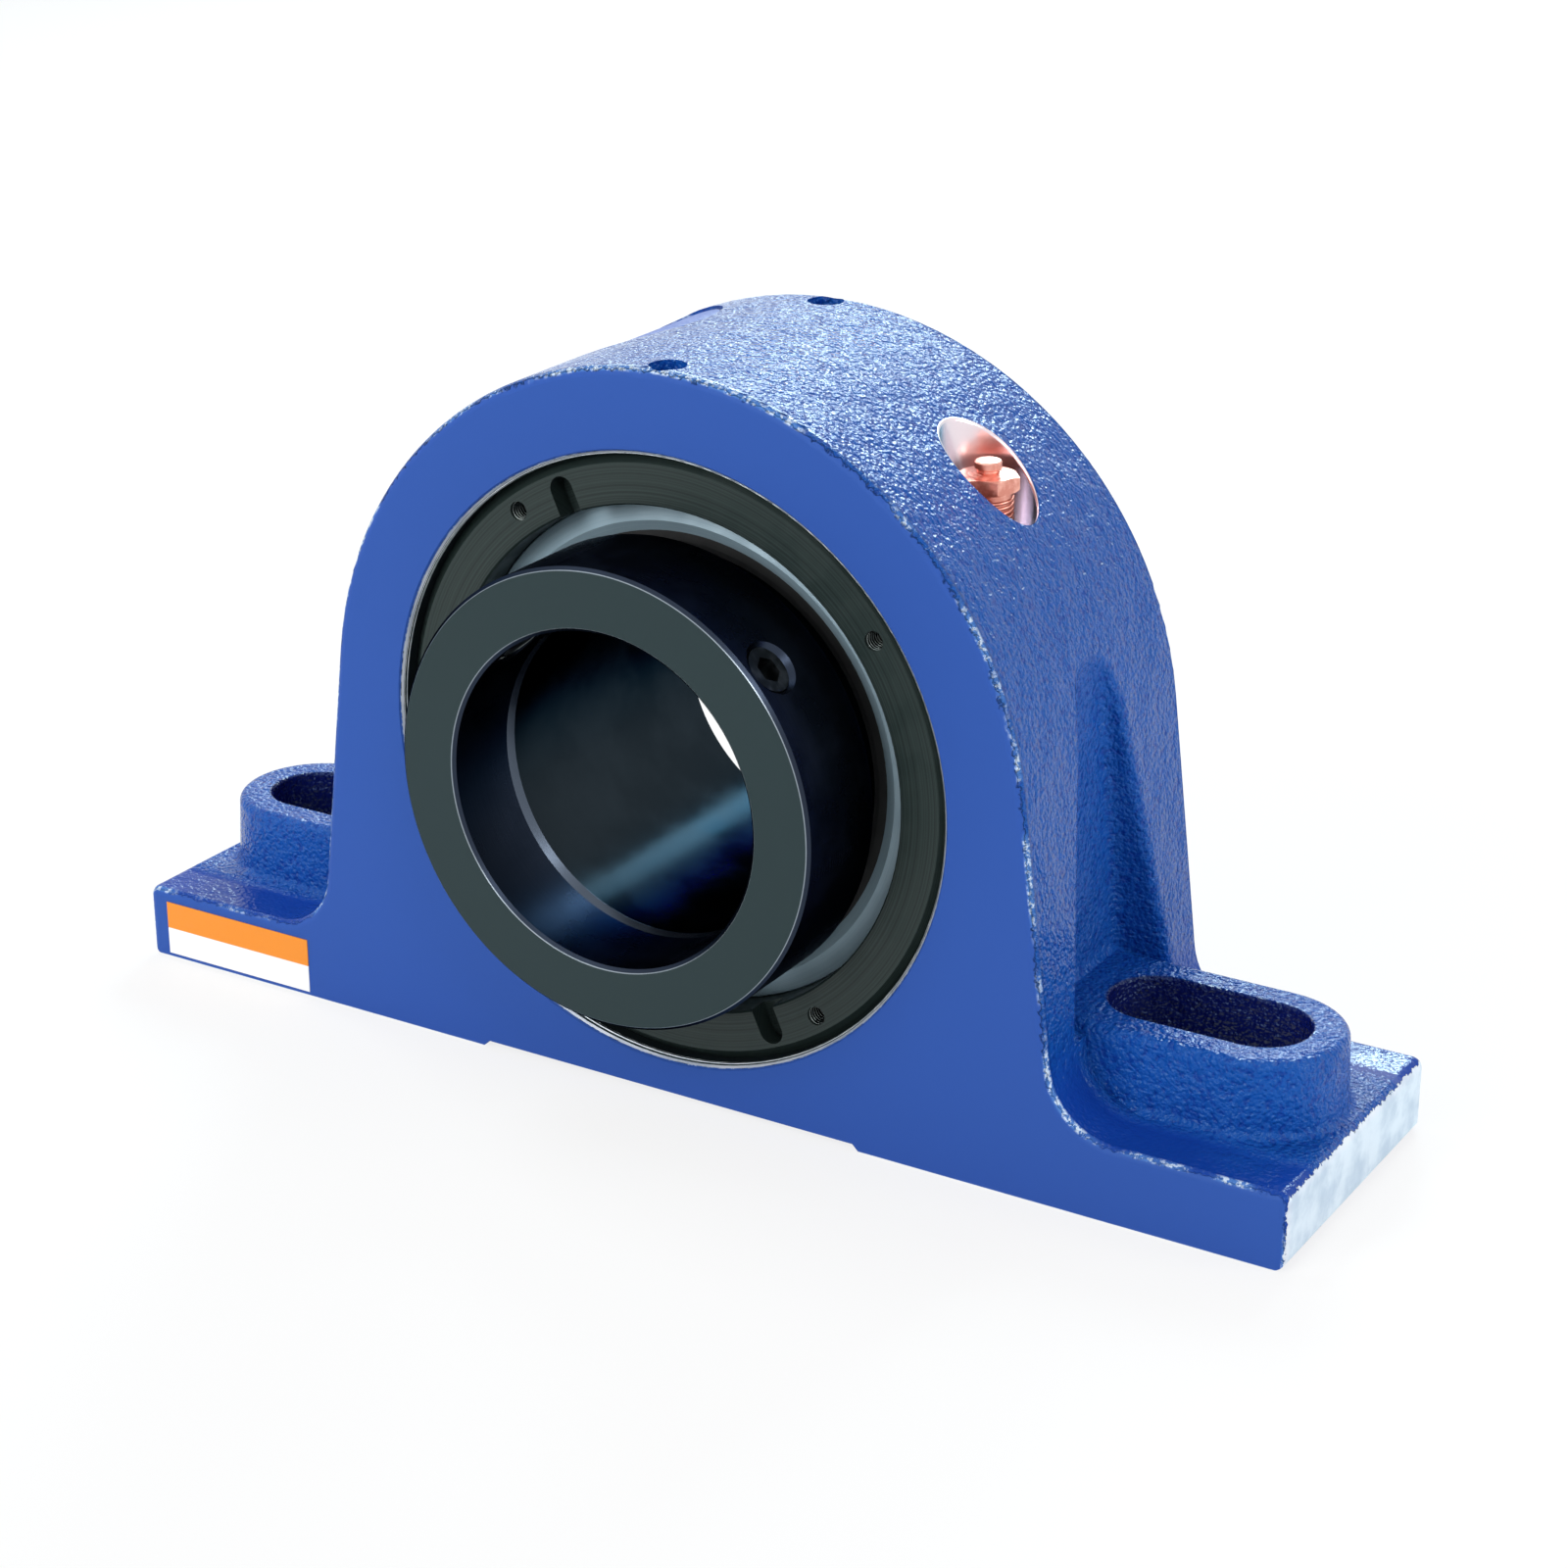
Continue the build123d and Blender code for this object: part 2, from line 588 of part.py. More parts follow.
# Inner ring: two raceways, centre land, seal lands, bore and the cam that the collar grips
race_centre = beside_roller(roller_reach, 0)
race_depth = sqrt(SPHERE_RADIUS**2 - (ROLLER_LENGTH / 2 + RIB_CLEARANCE) ** 2) - roller_reach
race_rib = beside_roller(-race_depth, ROLLER_LENGTH / 2 + RIB_CLEARANCE)
rib_slope = roller_outwards.Y / roller_outwards.X
rib_top = race_rib[1] + (LAND_RADIUS - race_rib[0]) * rib_slope
race_rise = race_centre[1] - CENTRE_LAND_HALF_WIDTH
centre_land_radius = race_centre[0] - sqrt(SPHERE_RADIUS**2 - race_rise**2)
race_bottom = beside_roller(-ROLLER_DIAMETER / 2 - RACE_CLEARANCE, 0)
cam_radius = BORE_RADIUS + CAM_WALL
cam_end = collar_back - SEAL_CLEARANCE
cam_plane = Plane.XZ.offset(cam_end)

with BuildPart() as inner_ring:
    with BuildSketch(RADIAL_PLANE):
        with BuildLine():
            Polyline(
                (centre_land_radius, CENTRE_LAND_HALF_WIDTH),
                (centre_land_radius, -CENTRE_LAND_HALF_WIDTH),
            )
            ThreePointArc(
                (centre_land_radius, -CENTRE_LAND_HALF_WIDTH),
                (race_bottom[0], -race_bottom[1]),
                (race_rib[0], -race_rib[1]),
            )
            Polyline(
                (race_rib[0], -race_rib[1]),
                (LAND_RADIUS, -rib_top),
                (LAND_RADIUS, -cam_end),
                (BORE_RADIUS, -cam_end),
                (BORE_RADIUS, ring_rear - RING_BORE_CHAMFER_DEPTH),
                (BORE_RADIUS + RING_BORE_CHAMFER_DEPTH, ring_rear),
                (LAND_RADIUS - RING_EDGE_CHAMFER, ring_rear),
                (LAND_RADIUS, ring_rear - RING_EDGE_CHAMFER),
                (LAND_RADIUS, rib_top),
                race_rib,
            )
            ThreePointArc(race_rib, race_bottom, (centre_land_radius, CENTRE_LAND_HALF_WIDTH))
        make_face()
    revolve(axis=SHAFT_AXIS)
    with BuildSketch(cam_plane):
        with Locations((0, SHAFT_HEIGHT + CAM_OFFSET)):
            Circle(cam_radius)
        with Locations((0, SHAFT_HEIGHT)):
            Circle(BORE_RADIUS, mode=Mode.SUBTRACT)
    extrude(amount=ring_front - cam_end)
    with BuildSketch(RADIAL_PLANE):
        with BuildLine():
            Polyline(
                (BORE_RADIUS, -ring_front),
                (BORE_RADIUS + RING_BORE_CHAMFER_DEPTH, -ring_front),
                (BORE_RADIUS, -ring_front + RING_BORE_CHAMFER_LENGTH),
                close=True,
            )
        make_face()
    revolve(axis=SHAFT_AXIS, mode=Mode.SUBTRACT)
inner_ring.part.label = "inner_ring"

# Loose guide ring between the two rows
cage_inner_corner = beside_roller(-CAGE_THICKNESS / 2, -rim_start - CAGE_INNER_RIM)
guide_outer_radius = cage_inner_corner[0] - GUIDE_CAGE_GAP
guide_bore_radius = centre_land_radius + GUIDE_RUNNING_CLEARANCE

with BuildPart() as guide_ring:
    add(
        ring(
            [
                (guide_bore_radius, -GUIDE_HALF_WIDTH_INNER),
                (guide_bore_radius, GUIDE_HALF_WIDTH_INNER),
                (guide_outer_radius, GUIDE_HALF_WIDTH_OUTER),
                (guide_outer_radius, -GUIDE_HALF_WIDTH_OUTER),
            ]
        )
    )
guide_ring.part.label = "guide_ring"

# Threaded covers, each with a spherical seat for the seal
cover_radius = THREAD_BORE_RADIUS - THREAD_CLEARANCE
cover_end = seat_half_width + COVER_END_GAP
groove_radius = THREAD_BORE_RADIUS - THREAD_CLEARANCE - GASKET_SECTION
groove_start = gasket_place - GASKET_GROOVE_WIDTH / 2
groove_end = gasket_place + GASKET_GROOVE_WIDTH / 2
cover_seat_radius = COVER_BORE_RADIUS + COVER_SEAT_RISE
notch_outer_radius = cover_radius - NOTCH_INSET
seat_front = sqrt(cover_seat_radius**2 - COVER_BORE_RADIUS**2)
seat_back_radius = sqrt(cover_seat_radius**2 - seat_end**2)
seat_middle = (seat_front + seat_end) / 2

with BuildPart() as rear_cover:
    with BuildSketch(RADIAL_PLANE):
        with BuildLine():
            ThreePointArc(
                (COVER_BORE_RADIUS, seat_front),
                (sqrt(cover_seat_radius**2 - seat_middle**2), seat_middle),
                (seat_back_radius, seat_end),
            )
            Polyline(
                (seat_back_radius, seat_end),
                (seat_back_radius + COVER_SKIRT_STEP, seat_end),
                (seat_back_radius + COVER_SKIRT_STEP, cover_end),
                (cover_radius, cover_end),
                (cover_radius, groove_start),
                (groove_radius, groove_start),
                (groove_radius, groove_end),
                (cover_radius, groove_end),
                (cover_radius, cover_face - COVER_FACE_CHAMFER),
                (cover_radius - COVER_FACE_CHAMFER, cover_face),
                (COVER_BORE_RADIUS + COVER_EDGE_CHAMFER, cover_face),
                (COVER_BORE_RADIUS, cover_face - COVER_EDGE_CHAMFER),
                (COVER_BORE_RADIUS, seat_front),
            )
        make_face()
    revolve(axis=SHAFT_AXIS)

    # Tapped puller holes and spanner notches, in the face
    face_plane = Plane(origin=(0, cover_face, SHAFT_HEIGHT), x_dir=(1, 0, 0), z_dir=(0, -1, 0))
    with BuildSketch(face_plane):
        with PolarLocations(cover_radius - COVER_HOLE_INSET, COVER_HOLE_COUNT, start_angle=COVER_HOLE_ANGLE):
            Circle(COVER_HOLE_RADIUS)
    extrude(amount=COVER_HOLE_DEPTH, mode=Mode.SUBTRACT)
    notch_length = notch_outer_radius - COVER_BORE_RADIUS + NOTCH_WIDTH
    with BuildSketch(face_plane):
        with PolarLocations(notch_outer_radius - notch_length / 2, NOTCH_COUNT, start_angle=NOTCH_ANGLE):
            SlotOverall(notch_length, NOTCH_WIDTH)
    extrude(amount=NOTCH_DEPTH, mode=Mode.SUBTRACT)
rear_cover.part.label = "rear_cover"

front_cover = twin(rear_cover.part)
front_cover.label = "front_cover"

# Round gaskets in the covers' grooves
with BuildPart() as rear_gasket:
    with BuildSketch(RADIAL_PLANE):
        with Locations(((groove_radius + THREAD_BORE_RADIUS) / 2, gasket_place)):
            Circle(GASKET_SECTION / 2)
    revolve(axis=SHAFT_AXIS)
rear_gasket.part.label = "rear_cover_gasket"

front_gasket = twin(rear_gasket.part)
front_gasket.label = "front_cover_gasket"

# Seal carriers: spherical rim in the cover's seat, dished face, bore for the lip seal
seal_bore_radius = LAND_RADIUS + LIP_BODY_HEIGHT
seal_hub_radius = seal_bore_radius + SEAL_HUB_WALL
rim_radius = cover_seat_radius - SEAL_CLEARANCE
rim_front_radius = sqrt(rim_radius**2 - seal_rim_front**2)
rim_back_radius = sqrt(rim_radius**2 - seal_rim_back**2)
rim_middle = (seal_rim_front + seal_rim_back) / 2
channel_radius = rim_front_radius - SEAL_PLATE

with BuildPart() as rear_seal_carrier:
    with BuildSketch(RADIAL_PLANE):
        with BuildLine():
            ThreePointArc(
                (rim_back_radius, seal_rim_back),
                (sqrt(rim_radius**2 - rim_middle**2), rim_middle),
                (rim_front_radius, seal_rim_front),
            )
            Polyline(
                (rim_front_radius, seal_rim_front),
                (seal_hub_radius, seal_face),
                (seal_bore_radius, seal_face - SEAL_LIP_STEP),
                (seal_bore_radius, seal_rim_back),
                (seal_hub_radius, seal_rim_back),
                (seal_hub_radius, seal_rim_front - SEAL_PLATE),
                (channel_radius, seal_rim_front - SEAL_PLATE),
                (channel_radius, seal_rim_back),
                (rim_back_radius, seal_rim_back),
            )
        make_face()
    revolve(axis=SHAFT_AXIS)
rear_seal_carrier.part.label = "rear_seal_carrier"

front_seal_carrier = twin(rear_seal_carrier.part)
front_seal_carrier.label = "front_seal_carrier"

# Rubber lip seals running on the inner ring's lands
lip_root_radius = LAND_RADIUS + LIP_HEIGHT
lip_front_end = seal_face - SEAL_LIP_STEP - LIP_INSET
lip_back_end = seal_rim_back + LIP_INSET
lip_pitch = (lip_front_end - lip_back_end) / LIP_COUNT
lip_outline = [
    (seal_bore_radius - SEAT_CLEARANCE, lip_back_end),
    (seal_bore_radius - SEAT_CLEARANCE, lip_front_end),
]
for lip in reversed(range(LIP_COUNT)):
    lip_front = lip_back_end + lip_pitch * (lip + 1)
    lip_outline.append((lip_root_radius, lip_front))
    lip_outline.append((LAND_RADIUS + LIP_CLEARANCE, lip_front - LIP_WIDTH / 4))
    lip_outline.append((lip_root_radius, lip_front - LIP_WIDTH))
lip_outline.append((lip_root_radius, lip_back_end))

with BuildPart() as rear_lip_seal:
    add(ring(lip_outline))
rear_lip_seal.part.label = "rear_lip_seal"

front_lip_seal = twin(rear_lip_seal.part)
front_lip_seal.label = "front_lip_seal"

# Locking collar with an off-centre recess over the inner ring's cam
collar_bore_radius = BORE_RADIUS + COLLAR_BORE_CLEARANCE
screw_hole_radius = COLLAR_SCREW_RADIUS + COLLAR_SCREW_CLEARANCE
countersink_start = COLLAR_RADIUS - 2 * COLLAR_SCREW_COUNTERSINK
screw_angles = [COLLAR_SCREW_ANGLE, COLLAR_SCREW_ANGLE + COLLAR_SCREW_SPREAD]
recess_end = ring_front + COLLAR_END_GAP

with BuildPart() as locking_collar:
    add(
        ring(
            [
                (collar_bore_radius, -collar_back),
                (COLLAR_RADIUS - COLLAR_CHAMFER / 2, -collar_back),
                (COLLAR_RADIUS, -collar_back - COLLAR_CHAMFER / 2),
                (COLLAR_RADIUS, -collar_front + COLLAR_CHAMFER),
                (COLLAR_RADIUS - COLLAR_CHAMFER, -collar_front),
                (collar_bore_radius + COLLAR_CHAMFER, -collar_front),
                (collar_bore_radius, -collar_front + COLLAR_CHAMFER),
            ]
        )
    )
    with BuildSketch(Plane.XZ.offset(collar_back)):
        with Locations((0, SHAFT_HEIGHT + CAM_OFFSET)):
            Circle(cam_radius + CAM_CLEARANCE)
    extrude(amount=recess_end - collar_back, mode=Mode.SUBTRACT)
    for angle in screw_angles:
        with BuildSketch(radial_plane(angle, -collar_screw_y)):
            Circle(screw_hole_radius)
        extrude(amount=COLLAR_RADIUS + COLLAR_CHAMFER, mode=Mode.SUBTRACT)
        with BuildSketch(radial_plane(angle, -collar_screw_y, countersink_start)):
            Circle(screw_hole_radius)
        extrude(amount=3 * COLLAR_SCREW_COUNTERSINK, taper=-45, mode=Mode.SUBTRACT)
locking_collar.part.label = "locking_collar"

# Collar set screws, backed off just clear of the shaft
screw_tip = collar_bore_radius + COLLAR_SCREW_TIP_GAP
screw_head = COLLAR_RADIUS - COLLAR_SCREW_SINK
screw_flank = COLLAR_SCREW_RADIUS * COLLAR_SCREW_TIP_SHARE
screw_shoulder = screw_tip + COLLAR_SCREW_RADIUS - screw_flank

with BuildPart() as collar_set_screws:
    for angle in screw_angles:
        with BuildSketch(radial_plane(angle, -collar_screw_y, screw_tip)):
            Circle(screw_flank)
        with BuildSketch(radial_plane(angle, -collar_screw_y, screw_shoulder)):
            Circle(COLLAR_SCREW_RADIUS)
        loft()
        with BuildSketch(radial_plane(angle, -collar_screw_y, screw_head)):
            Circle(COLLAR_SCREW_RADIUS)
        extrude(amount=screw_shoulder - screw_head)
        with BuildSketch(radial_plane(angle, -collar_screw_y, screw_head)):
            RegularPolygon(COLLAR_SOCKET_FLATS / 2, 6, major_radius=False)
        extrude(amount=-COLLAR_SOCKET_DEPTH, mode=Mode.SUBTRACT)
collar_set_screws.part.label = "collar_set_screws"

# Cover locking screws, down onto the covers' threads
lock_tip = THREAD_BORE_RADIUS
lock_head = lock_tip + LOCK_SCREW_LENGTH

with BuildPart() as cover_lock_screws:
    for y in (-lock_screw_y, lock_screw_y):
        with BuildSketch(radial_plane(90, y, lock_tip)):
            Circle(LOCK_SCREW_RADIUS)
        extrude(amount=LOCK_SCREW_LENGTH)
        with BuildSketch(radial_plane(90, y, lock_head)):
            RegularPolygon(LOCK_SOCKET_FLATS / 2, 6, major_radius=False)
        extrude(amount=-LOCK_SOCKET_DEPTH, mode=Mode.SUBTRACT)
cover_lock_screws.part.label = "cover_lock_screws"

# Button-head grease fitting, upright in the port
fitting_bottom = port_floor - PORT_THREAD_DEPTH + FITTING_BOTTOM_GAP
fitting_thread_radius = PORT_THREAD_RADIUS - FITTING_THREAD_CLEARANCE
hex_top = port_floor + FITTING_HEX_RISE
hex_bottom = hex_top - FITTING_HEX_HEIGHT
fitting_top = port_floor + FITTING_RISE
head_bottom = fitting_top - FITTING_HEAD_HEIGHT
fitting_plane = Plane(origin=(PORT_X, PORT_Y, 0), x_dir=(1, 0, 0), z_dir=(0, -1, 0))
fitting_axis = Axis((PORT_X, PORT_Y, 0), (0, 0, 1))

with BuildPart() as grease_fitting:
    with BuildSketch(Plane(origin=(PORT_X, PORT_Y, hex_bottom))):
        RegularPolygon(FITTING_HEX_FLATS / 2, 6, major_radius=False, rotation=FITTING_HEX_TURN)
    extrude(amount=FITTING_HEX_HEIGHT)
    with BuildSketch(fitting_plane):
        with BuildLine():
            hex_corner = FITTING_HEX_FLATS / sqrt(3)
            Polyline(
                (0, hex_bottom - FITTING_BEVEL),
                (FITTING_HEX_FLATS / 2, hex_bottom - FITTING_BEVEL),
                (hex_corner + FITTING_BEVEL, hex_bottom + FITTING_BEVEL * 2),
                (hex_corner + FITTING_BEVEL, hex_top - FITTING_BEVEL * 2),
                (FITTING_HEX_FLATS / 2, hex_top),
                (0, hex_top),
                close=True,
            )
        make_face()
    revolve(axis=fitting_axis, mode=Mode.INTERSECT)
    with BuildSketch(fitting_plane):
        with BuildLine():
            Polyline(
                (0, fitting_bottom),
                (fitting_thread_radius - FITTING_BEVEL * 2, fitting_bottom),
                (fitting_thread_radius, fitting_bottom + FITTING_BEVEL * 2),
                (fitting_thread_radius, hex_bottom),
                (fitting_thread_radius, hex_top - FITTING_BEVEL),
                (FITTING_HEAD_RADIUS + FITTING_BEVEL, hex_top + FITTING_BEVEL),
                (FITTING_NECK_RADIUS, hex_top + 2 * FITTING_BEVEL),
                (FITTING_NECK_RADIUS, head_bottom - FITTING_BEVEL),
                (FITTING_HEAD_RADIUS, head_bottom),
                (FITTING_HEAD_RADIUS, fitting_top - FITTING_BEVEL),
                (FITTING_HEAD_RADIUS - FITTING_BEVEL, fitting_top),
                (0, fitting_top),
                close=True,
            )
        make_face()
    revolve(axis=fitting_axis)
grease_fitting.part.label = "grease_fitting"

# Bare two-colour label
label_left = LABEL_END_GAP - BASE_LENGTH / 2

with BuildPart() as label:
    with BuildSketch(Plane.XZ.offset(HALF_WIDTH)):
        with Locations((label_left + LABEL_LENGTH / 2, LABEL_BOTTOM + LABEL_HEIGHT / 2)):
            Rectangle(LABEL_LENGTH, LABEL_HEIGHT)
    extrude(amount=LABEL_THICKNESS)
label.part.label = "label"

pieces = [
    housing.part,
    outer_ring.part,
    inner_ring.part,
    guide_ring.part,
    front_cage.part,
    rear_cage.part,
    front_rollers.part,
    rear_rollers.part,
    front_cover,
    rear_cover.part,
    front_gasket,
    rear_gasket.part,
    front_seal_carrier,
    rear_seal_carrier.part,
    front_lip_seal,
    rear_lip_seal.part,
    locking_collar.part,
    collar_set_screws.part,
    cover_lock_screws.part,
    grease_fitting.part,
    label.part,
]
os.makedirs("parts", exist_ok=True)
for piece in pieces:
    export_step(piece, f"parts/{piece.label}.step")
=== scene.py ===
"""Looks of a two-bolt pillow block bearing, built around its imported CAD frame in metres."""

import logging
import math
from dataclasses import dataclass, field
from enum import Enum
from typing import Any, ClassVar

import bmesh
import bpy
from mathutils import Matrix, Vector


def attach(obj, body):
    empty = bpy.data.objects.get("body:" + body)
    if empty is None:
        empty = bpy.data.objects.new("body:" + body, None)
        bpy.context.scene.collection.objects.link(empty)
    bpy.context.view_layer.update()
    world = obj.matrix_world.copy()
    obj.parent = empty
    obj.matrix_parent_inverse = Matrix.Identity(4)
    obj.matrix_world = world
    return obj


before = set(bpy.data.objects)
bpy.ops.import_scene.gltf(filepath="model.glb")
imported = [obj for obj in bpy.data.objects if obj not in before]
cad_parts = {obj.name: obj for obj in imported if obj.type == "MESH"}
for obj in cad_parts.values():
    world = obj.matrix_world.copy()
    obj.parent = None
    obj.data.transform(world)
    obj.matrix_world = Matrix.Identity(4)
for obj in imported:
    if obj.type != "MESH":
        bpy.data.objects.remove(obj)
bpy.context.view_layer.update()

log = logging.getLogger("mounted_bearing")

MM = 0.001
SHAFT_HEIGHT = 95.25 * MM
LOOK_AT = Vector((0.0, 0.0, 80.0 * MM))
CHANNEL_TOP = 255
SRGB_CUT = 0.04045
SRGB_SLOPE = 12.92
SRGB_OFFSET = 0.055
SRGB_POWER = 2.4

Colour = tuple[float, float, float]
Socket = bpy.types.NodeSocket


class Body(Enum):
    """The bodies of the frame that pieces ride on."""

    HOUSING = "housing"
    SHAFT_RING = "shaft_ring"


class Side(Enum):
    """The two sides of the block along the shaft, with the sign of their Y."""

    FRONT = -1
    REAR = 1


def rgb(red: int, green: int, blue: int) -> Colour:
    """Turns a display colour of 0 to 255 into the linear colour that shaders take.

    Args:
        red: Red channel.
        green: Green channel.
        blue: Blue channel.

    Returns:
        The linear colour.
    """
    shares = [channel / CHANNEL_TOP for channel in (red, green, blue)]
    curved = [((share + SRGB_OFFSET) / (1 + SRGB_OFFSET)) ** SRGB_POWER for share in shares]
    return tuple(share / SRGB_SLOPE if share <= SRGB_CUT else curve for share, curve in zip(shares, curved))


class Graph:
    """Adds nodes to one node tree and links them."""

    node_step: ClassVar[float] = 180.0
    colour_inputs: ClassVar[tuple[int, ...]] = (0, 6, 7)
    colour_output: ClassVar[int] = 2
    value_inputs: ClassVar[tuple[int, ...]] = (0, 2, 3)

    def __init__(self, tree: bpy.types.NodeTree) -> None:
        """Takes the tree to work in, and empties it."""
        self.tree = tree
        self.tree.nodes.clear()

    def add(self, kind: str, sockets: dict[Any, Any] | None = None, **settings: Any) -> bpy.types.Node:
        """Adds a node.

        Args:
            kind: Blender's name of the node type.
            sockets: Values or sockets for the node's inputs, by name or number.
            settings: Properties of the node itself.

        Returns:
            The new node.
        """
        node = self.tree.nodes.new(kind)
        node.location.x = self.node_step * len(self.tree.nodes)
        for name, value in settings.items():
            setattr(node, name, value)
        for key, value in (sockets or {}).items():
            self.feed(node.inputs[key], value)
        return node

    def feed(self, target: Socket, value: Any) -> None:
        """Links a socket to an input, or writes a plain value there.

        Args:
            target: The input.
            value: A socket, number, vector or colour.
        """
        if isinstance(value, bpy.types.NodeSocket):
            self.tree.links.new(value, target)
        elif target.type == "RGBA":
            target.default_value = (*value[:3], 1.0)
        else:
            target.default_value = value

    def math(self, operation: str, first: Any, second: Any = 0.0) -> Socket:
        """Adds a math node and returns its result.

        Args:
            operation: The operation's name.
            first: First value or socket.
            second: Second value or socket.

        Returns:
            The result socket.
        """
        return self.add("ShaderNodeMath", {0: first, 1: second}, operation=operation).outputs[0]

    def times(self, *values: Any) -> Socket:
        """Multiplies values one after another.

        Args:
            values: Two or more values or sockets.

        Returns:
            The product.
        """
        result = values[0]
        for value in values[1:]:
            result = self.math("MULTIPLY", result, value)
        return result

    def reach(self, first: Any, second: Any) -> Socket:
        """Length of a flat vector.

        Args:
            first: Its first part.
            second: Its second part.

        Returns:
            The length.
        """
        return self.math("SQRT", self.math("ADD", self.times(first, first), self.times(second, second)))

    def step(self, value: Any, low: Any, high: Any, start: float = 0.0, end: float = 1.0) -> Socket:
        """Maps a value smoothly from one range to another.

        Args:
            value: The value.
            low: Where the result is start.
            high: Where the result is end.
            start: Result at low.
            end: Result at high.

        Returns:
            The result socket.
        """
        sockets = {"Value": value, "From Min": low, "From Max": high, "To Min": start, "To Max": end}
        return self.add("ShaderNodeMapRange", sockets, interpolation_type="SMOOTHSTEP").outputs[0]

    def fall(self, value: Any, low: Any, high: Any) -> Socket:
        """Maps a value smoothly to 1 up to low and to 0 from high on."""
        return self.step(value, low, high, 1.0, 0.0)

    def blend(self, share: Any, first: Any, second: Any) -> Socket:
        """Goes smoothly from one value to another as a share grows from 0 to 1."""
        return self.step(share, 0.0, 1.0, first, second)

    def mix(self, share: Any, first: Any, second: Any) -> Socket:
        """Mixes two colours.

        Args:
            share: How much of the second colour.
            first: First colour or socket.
            second: Second colour or socket.

        Returns:
            The colour socket.
        """
        sockets = dict(zip(self.colour_inputs, (share, first, second)))
        return self.add("ShaderNodeMix", sockets, data_type="RGBA").outputs[self.colour_output]

    def mix_value(self, share: Any, first: Any, second: Any) -> Socket:
        """Mixes two values as a share grows from 0 to 1, in a straight line."""
        sockets = dict(zip(self.value_inputs, (share, first, second)))
        return self.add("ShaderNodeMix", sockets, data_type="FLOAT").outputs[0]

    def bump(self, shader: bpy.types.Node, height: Socket, distance: float) -> None:
        """Gives a shader a relief.

        Args:
            shader: The Principled shader.
            height: The relief's height.
            distance: What a height of 1 stands for, in metres.
        """
        bump = self.add("ShaderNodeBump", {"Height": height, "Distance": distance, "Strength": 1.0})
        self.feed(shader.inputs["Normal"], bump.outputs[0])

    def place(self) -> tuple[Socket, Socket, Socket, Socket]:
        """The point on the object in metres.

        Returns:
            The whole vector, then X, Y and Z.
        """
        point = self.add("ShaderNodeTexCoord").outputs["Object"]
        parts = self.add("ShaderNodeSeparateXYZ", {0: point}).outputs
        return point, parts[0], parts[1], parts[2]

    def shaft_radius(self, x: Socket, z: Socket) -> Socket:
        """Distance of a point from the shaft's axis.

        Args:
            x: The point's X.
            z: The point's Z.

        Returns:
            The distance in metres.
        """
        return self.reach(x, self.math("SUBTRACT", z, SHAFT_HEIGHT))

    def noise(self, point: Socket, size: Any, detail: float = 2.0, roughness: float = 0.5) -> Socket:
        """Noise with cells of a given size.

        Args:
            point: Where it is taken, in metres.
            size: Size of a cell in metres.
            detail: Number of finer layers.
            roughness: Weight of the finer layers.

        Returns:
            The noise, about 0 to 1.
        """
        scale = self.math("DIVIDE", 1.0, size)
        sockets = {"Vector": point, "Scale": scale, "Detail": detail, "Roughness": roughness}
        return self.add("ShaderNodeTexNoise", sockets).outputs[0]


class Effect:
    """A shader node group that several finishes share, built once."""

    name: ClassVar[str]
    inputs: ClassVar[dict[str, float]]
    outputs: ClassVar[tuple[str, ...]]

    def tree(self) -> bpy.types.NodeTree:
        """The node group, made on first use.

        Returns:
            The group's tree.
        """
        found = bpy.data.node_groups.get(self.name)
        if found:
            return found
        made = bpy.data.node_groups.new(self.name, "ShaderNodeTree")
        for name, value in self.inputs.items():
            socket = made.interface.new_socket(name, in_out="INPUT", socket_type="NodeSocketFloat")
            socket.default_value = value
        for name in self.outputs:
            made.interface.new_socket(name, in_out="OUTPUT", socket_type="NodeSocketFloat")
        graph = Graph(made)
        given = graph.add("NodeGroupInput")
        results = self.draw(graph, given.outputs)
        graph.add("NodeGroupOutput", dict(zip(self.outputs, results)))
        return made

    def draw(self, graph: Graph, given: Any) -> tuple[Socket, ...]:
        """Adds the effect's nodes.

        Args:
            graph: The group's graph.
            given: The group's input sockets by name.

        Returns:
            One socket for each output.
        """
        raise NotImplementedError

    def put(self, graph: Graph, **values: float) -> bpy.types.Node:
        """Places the group in a material.

        Args:
            graph: The material's graph.
            values: Values for the group's inputs, with underscores for spaces.

        Returns:
            The group node.
        """
        sockets = {name.replace("_", " "): value for name, value in values.items()}
        return graph.add("ShaderNodeGroup", sockets, node_tree=self.tree())


